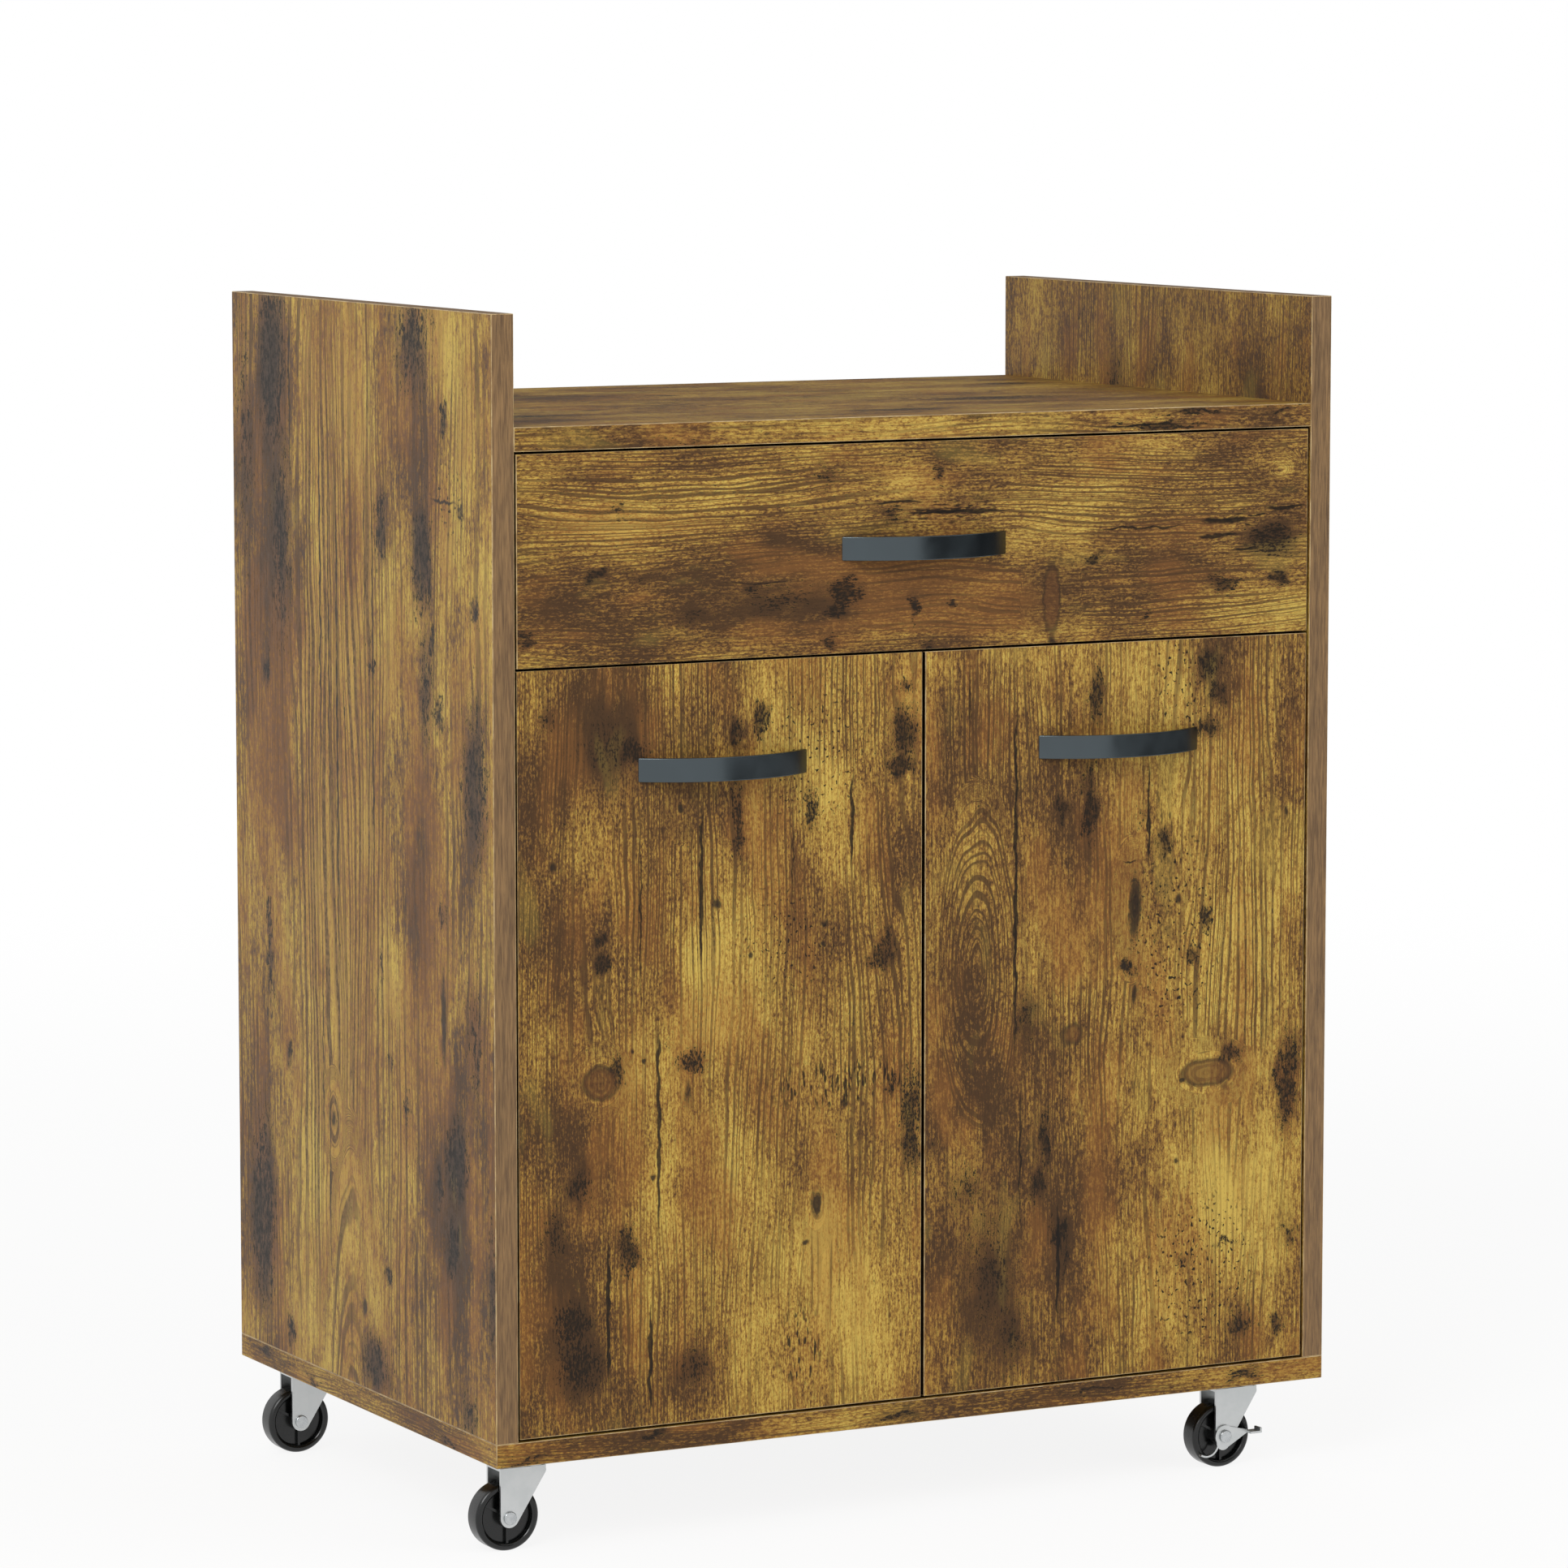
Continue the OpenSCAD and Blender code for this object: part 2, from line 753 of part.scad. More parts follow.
module handle_screw_holes() {
    for (side = [-1, 1]) translate([side * handle_pitch / 2, 0, 0]) {
        handle_screw(fit_slack);
        rod_y([0, rear_y - cut, 0], handle_screw_r + fit_slack, 2 * cut);
    }
}

module handle_screws() {
    color(zinc) for (side = [-1, 1]) translate([side * handle_pitch / 2, 0, 0]) {
        handle_screw();
        rod_y([0, rear_y, 0], handle_head_r, handle_head_h);
    }
}

module drawer_handle() { color(black_metal) translate([0, 0, drawer_handle_z]) bow_handle(); }
module drawer_handle_screws() { translate([0, 0, drawer_handle_z]) handle_screws(); }

// Doors
module at_door_handle(side) {
    translate([side * door_mid_x, 0, door_handle_z]) children();
}

module strike_pin(slack = 0) {
    rod_y([catch_x, rear_y - strike_pin_l - slack, magnet_z], strike_pin_r + slack,
        strike_pin_l + slack + strike_t / 2);
}

module door_panel(side) {
    color(laminate) difference() {
        on_side(side) difference() {
            block([door_gap / 2, front_x], [face_y, rear_y], [door_z0, door_z1]);
            for (z = hinge_zs) rod_y([front_x - cup_in, rear_y - cup_depth - cup_slack, z],
                cup_r, cup_depth + cut);
            at_cup_screws() screw_hole(screw_l);
            strike_pin(fit_slack);
        }
        at_door_handle(side) handle_screw_holes();
    }
}

module left_door_panel() { door_panel(-1); }
module right_door_panel() { door_panel(1); }
module left_door_handle() { color(black_metal) at_door_handle(-1) bow_handle(); }
module right_door_handle() { color(black_metal) at_door_handle(1) bow_handle(); }
module left_door_handle_screws() { at_door_handle(-1) handle_screws(); }
module right_door_handle_screws() { at_door_handle(1) handle_screws(); }

// Steel cups let into the door, with the ears that their screws go through
module hinge_cups(side) {
    x = front_x - cup_in;
    color(steel) on_side(side) for (z = hinge_zs) difference() {
        union() {
            rod_y([x, rear_y - cup_depth, z], cup_r - cup_slack, cup_depth);
            rod_y([x, rear_y, z], flange_r, flange_t);
            block([x - ear_in - ear_w / 2, x - ear_in + ear_w / 2], [rear_y, rear_y + flange_t],
                [z - cup_screw_pitch / 2 - ear_over, z + cup_screw_pitch / 2 + ear_over]);
        }
        rod_y([x, rear_y - cup_depth + cup_wall, z], cup_r - cup_slack - cup_wall, cup_depth + flange_t);
        at_cup_screws() screw_hole(screw_l);
    }
}

module left_hinge_cups() { hinge_cups(-1); }
module right_hinge_cups() { hinge_cups(1); }
module left_cup_screws() { color(zinc) on_side(-1) at_cup_screws() pan_screw(); }
module right_cup_screws() { color(zinc) on_side(1) at_cup_screws() pan_screw(); }

module strike_plate(side) {
    color(zinc) on_side(side) {
        block([catch_x - strike_w / 2, catch_x + strike_w / 2], [rear_y, rear_y + strike_t],
            [magnet_z - strike_h / 2, magnet_z + strike_h / 2]);
        strike_pin();
    }
}

module left_strike_plate() { strike_plate(-1); }
module right_strike_plate() { strike_plate(1); }

// Casters
module caster_plates() {
    color(zinc) difference() {
        at_casters() difference() {
            union() {
                block([-plate_w / 2, plate_w / 2], [-plate_w / 2, plate_w / 2], [plate_z, base_z]);
                translate([0, 0, crown_z + side_play])
                    cylinder(r = race_r, h = race_h - side_play + plate_t / 2);
            }
            translate([0, 0, crown_z - cut]) cylinder(r = kingpin_r + fit_slack, h = caster_h);
        }
        at_plate_screws() screw_hole(screw_l);
    }
}

module caster_kingpins() {
    low = crown_z - fork_t - side_play;
    color(steel) at_casters() {
        translate([0, 0, low]) cylinder(r = kingpin_r, h = base_z - low);
        translate([0, 0, low - kingpin_head_h]) cylinder(r = kingpin_head_r, h = kingpin_head_h);
    }
}

// Side view of a fork plate, drawn from the swivel axis and the floor
module fork_outline() {
    across = [cos(fork_slant), -sin(fork_slant)];
    toe = [-trail, wheel_r];
    toe_touch = toe + fork_toe_r * across;
    corner_z = crown_z - fork_corner_r;
    corner_x = toe_touch[0]
        + (sin(fork_slant) * (corner_z - toe_touch[1]) - fork_corner_r) / cos(fork_slant);
    corner_touch = [corner_x, corner_z] + fork_corner_r * across;
    translate(toe) circle(r = fork_toe_r);
    translate([corner_x, corner_z]) circle(r = fork_corner_r);
    polygon([
        [-trail - fork_toe_r, wheel_r], [-trail - fork_toe_r, crown_z],
        [corner_x, crown_z], corner_touch, toe_touch
    ]);
}

module fork(side, y) {
    across = [cos(fork_slant), -sin(fork_slant)];
    crown_back = -trail + fork_toe_r * across[0]
        + tan(fork_slant) * (crown_z - fork_t - wheel_r - fork_toe_r * across[1]);
    color(zinc) translate([side * caster_x, y, 0]) difference() {
        union() {
            for (j = [-1, 1]) translate([0, j * (fork_w - fork_t) / 2, 0])
                rotate([90, 0, 0]) linear_extrude(fork_t, center = true) fork_outline();
            block([-trail - fork_toe_r, crown_back - fork_corner_r / 2],
                [-fork_w / 2, fork_w / 2], [crown_z - fork_t, crown_z]);
        }
        translate([0, 0, crown_z - fork_t - cut])
            cylinder(r = kingpin_r + run_slack, h = fork_t + 2 * cut);
        rod_y([-trail, -fork_w, wheel_r], axle_r + fit_slack, 2 * fork_w);
    }
}

// Axle riveted over the fork, and over the brake lever where there is one
module axle(side, y, braked = false) {
    front = -fork_w / 2 - (braked ? lever_t + 2 * side_play : 0);
    color(steel) translate([side * caster_x - trail, y, wheel_r]) {
        rod_y([0, front, 0], axle_r, fork_w / 2 - front);
        rod_y([0, front - rivet_head_t, 0], rivet_head_r, rivet_head_t);
        rod_y([0, fork_w / 2, 0], rivet_head_r, rivet_head_t);
    }
}

// Half section of the wheel: distance from the axle, then along it
module wheel_section() {
    half = wheel_w / 2;
    core_r = hub_r / 2;
    translate([rim_r, -half]) square([tread_t - tread_edge, wheel_w]);
    translate([rim_r, tread_edge - half]) square([tread_t, wheel_w - 2 * tread_edge]);
    for (j = [-1, 1]) translate([wheel_r - tread_edge, j * (half - tread_edge)])
        circle(r = tread_edge);
    translate([core_r, -web_t / 2]) square([rim_r - core_r + rim_bite, web_t]);
    translate([core_r, -hub_w / 2]) square([hub_r - core_r, hub_w]);
}

module wheel(side, y) {
    color(black_plastic) translate([side * caster_x - trail, y, wheel_r]) difference() {
        union() {
            rotate([90, 0, 0]) rotate_extrude() wheel_section();
            for (i = [0:rib_count - 1]) rotate([0, 90 + i * 360 / rib_count, 0])
                block([hub_r / 2, rim_r + rim_bite], [-rib_w / 2, rib_w / 2], [-rib_t / 2, rib_t / 2]);
            rod_y([0, -web_t / 2, 0], hub_r, web_t);
            rod_y([0, -hub_w / 2, 0], hub_r, hub_w);
        }
        rod_y([0, -wheel_w, 0], axle_r + run_slack, 2 * wheel_w);
    }
}

// Side view of the lever's stamped plate, drawn from the axle
module lever_outline() {
    shoulder = lever_inside * lever_r * [sin(lever_shoulder), cos(lever_shoulder)];
    heel = lever_lobe + lever_inside * lever_lobe_r * [cos(lever_heel), -sin(lever_heel)];
    circle(r = lever_r);
    translate(lever_lobe) circle(r = lever_lobe_r);
    polygon([shoulder, lever_tail, lever_tail - [0, lever_tail_h], heel, lever_lobe]);
}

module lip_outline() {
    reach = 2 * lip_r;
    translate(lip_center) intersection() {
        difference() {
            circle(r = lip_r + lip_t / 2);
            circle(r = lip_r - lip_t / 2);
        }
        polygon([
            [0, 0], reach * [cos(lip_from), sin(lip_from)],
            reach * [cos((lip_from + lip_to) / 2), sin((lip_from + lip_to) / 2)],
            reach * [cos(lip_to), sin(lip_to)]
        ]);
    }
}

// The lip and the pedal start a little inside the plate, so that no two faces coincide
module brake_lever(side, y) {
    outer = -fork_w / 2 - side_play - lever_t;
    lip_w = lever_t + fork_t + side_play;
    pedal_x = lever_tail[0] + pedal_l;
    pedal_z = lever_tail[1] - lever_tail_h + lever_sunk;
    pedal_ys = [lever_t - lever_sunk - pedal_w, lever_t - lever_sunk];
    color(zinc) translate([side * caster_x - trail, y + outer, wheel_r]) difference() {
        union() {
            translate([0, lever_t, 0]) rotate([90, 0, 0]) linear_extrude(lever_t) lever_outline();
            translate([0, lip_w, 0]) rotate([90, 0, 0]) linear_extrude(lip_w - lever_sunk) lip_outline();
            block([lever_tail[0] - 1, pedal_x], pedal_ys, [pedal_z, pedal_z + lever_t]);
            block([pedal_x - lever_t, pedal_x], pedal_ys, [pedal_z, pedal_z + pedal_rise]);
        }
        rod_y([0, -cut, 0], axle_r + run_slack, lip_w + 2 * cut);
    }
}

module front_left_fork() { fork(-1, caster_ys[0]); }
module front_left_axle() { axle(-1, caster_ys[0]); }
module front_left_wheel() { wheel(-1, caster_ys[0]); }
module front_right_fork() { fork(1, caster_ys[0]); }
module front_right_axle() { axle(1, caster_ys[0], braked = true); }
module front_right_wheel() { wheel(1, caster_ys[0]); }
module front_right_brake_lever() { brake_lever(1, caster_ys[0]); }
module back_left_fork() { fork(-1, caster_ys[1]); }
module back_left_axle() { axle(-1, caster_ys[1]); }
module back_left_wheel() { wheel(-1, caster_ys[1]); }
module back_right_fork() { fork(1, caster_ys[1]); }
module back_right_axle() { axle(1, caster_ys[1], braked = true); }
module back_right_wheel() { wheel(1, caster_ys[1]); }
module back_right_brake_lever() { brake_lever(1, caster_ys[1]); }

bottom_board();
left_side_panel();
right_side_panel();
top_shelf();
inner_shelf();
back_panel();
front_rail();
shelf_pins();
cam_locks();
cam_bolts();
base_screws();
pan_head_screws();
left_cabinet_runner();
right_cabinet_runner();
left_cabinet_roller();
right_cabinet_roller();
hinge_plates();
hinge_arms();
catch_cases();
catch_magnets();
caster_plates();
caster_kingpins();
drawer_front();
drawer_left_side();
drawer_right_side();
drawer_back();
drawer_bottom();
drawer_handle();
drawer_handle_screws();
drawer_corner_screws();
left_drawer_runner();
right_drawer_runner();
left_drawer_roller();
right_drawer_roller();
left_door_panel();
left_door_handle();
left_door_handle_screws();
left_hinge_cups();
left_cup_screws();
left_strike_plate();
right_door_panel();
right_door_handle();
right_door_handle_screws();
right_hinge_cups();
right_cup_screws();
right_strike_plate();
front_left_fork();
front_left_axle();
front_left_wheel();
front_right_fork();
front_right_axle();
front_right_wheel();
front_right_brake_lever();
back_left_fork();
back_left_axle();
back_left_wheel();
back_right_fork();
back_right_axle();
back_right_wheel();
back_right_brake_lever();
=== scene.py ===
import json
import math

import bmesh
import bpy
from mathutils import Matrix, Vector


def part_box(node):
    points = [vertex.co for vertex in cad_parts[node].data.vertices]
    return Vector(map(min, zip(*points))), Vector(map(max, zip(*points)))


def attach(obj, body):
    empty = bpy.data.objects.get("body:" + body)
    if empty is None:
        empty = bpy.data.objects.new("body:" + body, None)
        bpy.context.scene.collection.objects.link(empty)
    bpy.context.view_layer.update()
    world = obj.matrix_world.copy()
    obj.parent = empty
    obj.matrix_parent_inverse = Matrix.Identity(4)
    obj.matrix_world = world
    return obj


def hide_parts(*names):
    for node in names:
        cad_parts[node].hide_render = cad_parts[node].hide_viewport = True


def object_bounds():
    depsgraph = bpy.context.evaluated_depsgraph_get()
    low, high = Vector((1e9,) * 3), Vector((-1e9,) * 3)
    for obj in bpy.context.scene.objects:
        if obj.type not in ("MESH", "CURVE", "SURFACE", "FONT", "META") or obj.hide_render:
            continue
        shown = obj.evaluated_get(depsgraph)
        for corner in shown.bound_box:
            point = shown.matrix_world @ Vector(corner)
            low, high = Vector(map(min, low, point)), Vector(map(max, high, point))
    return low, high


# A kitchen cart of printed rustic laminate boards, with black bow handles and zinc plated swivel casters.
# Lengths in the dictionaries are mm, but the studio and the camera's place are in metres.
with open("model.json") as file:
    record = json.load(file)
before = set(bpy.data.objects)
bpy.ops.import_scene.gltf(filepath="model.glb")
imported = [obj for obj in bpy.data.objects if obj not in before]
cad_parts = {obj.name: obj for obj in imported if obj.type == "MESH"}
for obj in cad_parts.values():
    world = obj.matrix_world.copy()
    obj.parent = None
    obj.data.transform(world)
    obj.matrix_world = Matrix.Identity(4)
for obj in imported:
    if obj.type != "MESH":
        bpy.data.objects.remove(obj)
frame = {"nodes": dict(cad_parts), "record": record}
nodes = frame["nodes"]
cadLow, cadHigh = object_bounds()
bodyOf = {node: body for body, group in frame["record"]["behaviour"]["bodies"].items() for node in group}
slotOf = {part["node"]: part["material_slot"] for part in frame["record"]["subparts"]}
mm = 0.001  # in metres


def hexColor(code):
    # sRGB hex to the linear values that Blender's sockets hold
    channels = [int(code[i:i + 2], 16) / 255 for i in (1, 3, 5)]
    return [c / 12.92 if c <= 0.04045 else ((c + 0.055) / 1.055) ** 2.4 for c in channels] + [1.0]


def addNode(tree, kind, inputs=None, **settings):
    # adds one node; an input is a value, or the socket or the node that feeds it
    node = tree.nodes.new(kind)
    for name, value in settings.items():
        setattr(node, name, value)
    for key, value in (inputs or {}).items():
        if isinstance(value, bpy.types.Node):
            value = value.outputs[0]
        if isinstance(value, bpy.types.NodeSocket):
            tree.links.new(value, node.inputs[key])
        else:
            node.inputs[key].default_value = value
    return node


def startMaterial(name):
    material = bpy.data.materials.new(name)
    material.use_nodes = True
    return material, material.node_tree, material.node_tree.nodes["Principled BSDF"]


def objectSpace(tree):
    # the piece's own coordinates in mm
    coords = addNode(tree, "ShaderNodeTexCoord").outputs["Object"]
    return addNode(tree, "ShaderNodeMapping", {"Vector": coords, "Scale": (1 / mm,) * 3})


# How many grains each seed moves a pattern along the three axes, so that no two patterns lie alike
noiseStep = (7.3, 3.1, 5.7)
wobbleStep = (2.9, 6.1, 1.0)


def streakNoise(tree, space, size, seed, detail=2.0, roughness=0.5):
    # noise whose grains are as wide as size says, in mm along each axis of the space
    settings = {"Vector": space, "Location": [seed * s for s in noiseStep], "Scale": [1 / s for s in size]}
    placed = addNode(tree, "ShaderNodeMapping", settings)
    settings = {"Vector": placed, "Scale": 1.0, "Detail": detail, "Roughness": roughness}
    return addNode(tree, "ShaderNodeTexNoise", settings).outputs["Fac"]


def weightedSum(tree, base, *terms):
    # the base plus each pattern times its weight
    for pattern, weight in terms:
        base = addNode(tree, "ShaderNodeMath", {0: pattern, 1: weight, 2: base}, operation="MULTIPLY_ADD")
    return base


# The finishes share some rows. Spread: where the pattern starts and ends to turn from dark to light.
# Shine: a pattern's start and end, and the roughness at each. Relief: depth in mm and strength.
# Shader: what else differs from the shader's own values.


def twoTone(tree, finish, pattern):
    # the finish's dark colour, turning into the light one while the pattern goes through the spread
    start, end = finish["spread"]
    settings = {"Value": pattern, "From Min": start, "From Max": end}
    share = addNode(tree, "ShaderNodeMapRange", settings, interpolation_type="SMOOTHSTEP")
    settings = {"Fac": share, "Color1": hexColor(finish["dark"]), "Color2": hexColor(finish["light"])}
    return addNode(tree, "ShaderNodeMixRGB", settings)


def dressShader(tree, shader, finish, color, relief=None, shine=None):
    # colour, roughness, which is even or follows the shine pattern, relief and the finish's other values
    tree.links.new(color.outputs[0], shader.inputs["Base Color"])
    if shine is None:
        shader.inputs["Roughness"].default_value = finish["roughness"]
    else:
        start, end, smooth, rough = finish["shine"]
        settings = {"Value": shine, "From Min": start, "From Max": end, "To Min": smooth, "To Max": rough}
        level = addNode(tree, "ShaderNodeMapRange", settings, interpolation_type="SMOOTHSTEP")
        tree.links.new(level.outputs[0], shader.inputs["Roughness"])
    if relief is not None:
        depth, strength = finish["relief"]
        settings = {"Height": relief, "Distance": depth * mm, "Strength": strength}
        bump = addNode(tree, "ShaderNodeBump", settings)
        tree.links.new(bump.outputs[0], shader.inputs["Normal"])
    for name, value in finish.get("shader", {}).items():
        shader.inputs[name].default_value = value


# Laminate: printed decor paper under a satin melamine film. It shows a strong, dark-marked old wood,
# all in one flat skin: the colour carries the grain and the relief is only a faint press mark.
laminate = {
    "tones": [(0.3, "#452f1a"), (0.4, "#694824"), (0.5, "#8c672d"), (0.6, "#aa863b"), (0.74, "#c3a54e")],
    "rust": "#94602a",
    "olive": "#a48f3f",
    "line": "#46301a",
    "smoke": "#1f160d",
    "knot": "#241b13",
    "eye": "#5f3c1e",
    "crack": "#150f0a",
    "middleTone": 0.5,
    "toneShare": 0.8,    # how far each noise moves the tone
    "fibreShare": 0.62,
    "gritShare": 1.1,
    "glow": 0.15,        # how far a light or a brown patch moves the tone
    "brown": -0.16,
    "warm": 0.22,        # how far a warm patch moves the hue
    "lineGap": 2.1,      # mm between the printed growth rings
    "lineLean": 0.8,     # mm by which the rings move for each mm into the board
    "lineDrift": 70.0,   # mm by which the rings wander across the board
    "lineSway": 9.0,     # mm by which they sway on the way
    "lineDetail": (1.5, 0.5),
    "smokeGrit": 2.0,    # how far grit and fibre break up a border
    "smokeFibre": 1.0,
    "knotGrit": 1.0,
    "ragged": (8.0, 16.0, 20.0),  # grains and reach in mm of what pulls the borders of large marks about
    "fine": (6.0, 14.0, 6.0),     # and of small ones
    "shine": (-0.2, 0.2, 0.36, 0.52),  # grit from and to, roughness from and to
    "relief": (0.06, 0.5),  # depth in mm and strength
    "shader": {"Specular IOR Level": 0.18},
}
laminateNoise = {  # width and length of a noise's grains in mm, its own seed, detail and roughness
    "drift": (85.0, 520.0, 1, 1.0, 0.5),
    "sway": (24.0, 90.0, 2, 2.0, 0.5),
    "fibre": (1.1, 15.0, 3, 3.0, 0.65),
    "grit": (1.4, 3.2, 4, 3.0, 0.75),
    "tone": (44.0, 95.0, 5, 4.0, 0.58),
    "patch": (28.0, 80.0, 6, 3.0, 0.5),
    "ringShare": (40.0, 120.0, 7, 2.0, 0.5),
    "haze": (20.0, 42.0, 8, 4.0, 0.65),
    "pores": (1.7, 9.0, 9, 1.0, 0.5),
    "holes": (2.0, 2.6, 10, 0.0, 0.5),
    "veins": (2.6, 130.0, 11, 2.0, 0.5),
}
laminatePrints = {  # the pattern's values at which a print sets in and is full, its least and its most cover
    "ovals": (0.0, 7.0, 0.0, 1.0),
    "rings": (0.47, 0.58, 0.0, 1.0),
    "ringShare": (0.35, 0.62, 0.2, 0.85),
    "lined": (0.0, 0.4, 0.0, 0.9),
    "worn": (-0.16, 0.08, 0.45, 1.0),
    "rust": (0.5, 0.7, 0.0, 0.4),
    "olive": (0.44, 0.3, 0.0, 0.25),
    "veins": (0.63, 0.74, 0.0, 0.6),
    "haze": (0.6, 0.78, 0.0, 0.4),
    "smoke": (0.26, 0.62, 0.0, 1.0),
    "eye": (0.1, 0.35, 0.0, 0.7),
    "eyeRim": (0.02, 0.2, 0.0, 1.0),
    "eyeHollow": (0.46, 0.2, 0.0, 0.65),
    "knots": (0.2, 0.62, 0.0, 0.9),
    "cracks": (0.04, 0.4, 0.0, 0.9),
    "pores": (0.56, 0.64, 0.0, 1.0),
    "holes": (0.69, 0.76, 0.0, 1.0),
    "poreShare": (0.0, 0.5, 0.12, 0.9),
    "holeShare": (0.0, 0.4, 0.15, 0.95),
}
facings = {  # rows: what lies to the right, down and inwards as seen from outside
    "front": Matrix(((1, 0, 0), (0, 0, -1), (0, 1, 0))),
    "left": Matrix(((0, -1, 0), (0, 0, -1), (1, 0, 0))),
    "right": Matrix(((0, 1, 0), (0, 0, -1), (-1, 0, 0))),
    "top": Matrix(((1, 0, 0), (0, -1, 0), (0, 0, -1))),
}
flatDepth = 1e5  # mm, so deep that a mark runs through the whole board


def boardSpace(tree, node, facing):
    # mm to the right and down from the board's corner, as seen from the side that it faces
    turn = facings[facing]
    corner = [min(a, b) for a, b in zip(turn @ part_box(node)[0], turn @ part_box(node)[1])]
    coords = addNode(tree, "ShaderNodeTexCoord").outputs["Object"]
    settings = {"Vector": coords, "Location": [-c / mm for c in corner], "Rotation": turn.to_euler(),
                "Scale": (1 / mm,) * 3}
    return addNode(tree, "ShaderNodeMapping", settings)


def markMask(tree, space, marks):
    # cones over ellipses, each mark being x, y, half width, half height, strength
    total = None
    for x, y, halfWidth, halfHeight, strength in marks:
        cone = addNode(tree, "ShaderNodeTexGradient", {"Vector": space}, gradient_type="SPHERICAL")
        cone.texture_mapping.vector_type = "TEXTURE"
        cone.texture_mapping.translation = (x, y, 0)
        cone.texture_mapping.scale = (halfWidth, halfHeight, flatDepth)
        part = addNode(tree, "ShaderNodeMath", {0: cone.outputs["Fac"], 1: strength}, operation="MULTIPLY")
        if total is not None:
            part = addNode(tree, "ShaderNodeMath", {0: total, 1: part}, operation="MAXIMUM")
        total = part
    return total if total is not None else 0.0


def wobble(tree, space, size, reach, seed):
    # shifts the space by up to half the reach, so that marks get ragged borders
    settings = {"Vector": space, "Location": [seed * s for s in wobbleStep], "Scale": [1 / s for s in size]}
    placed = addNode(tree, "ShaderNodeMapping", settings)
    noise = addNode(tree, "ShaderNodeTexNoise", {"Vector": placed, "Scale": 1.0, "Detail": 3.0})
    settings = {0: noise.outputs["Color"], 1: (0.5, 0.5, 0.5)}
    centred = addNode(tree, "ShaderNodeVectorMath", settings, operation="SUBTRACT")
    settings = {0: centred, 1: (reach,) * 3, 2: space}
    return addNode(tree, "ShaderNodeVectorMath", settings, operation="MULTIPLY_ADD")


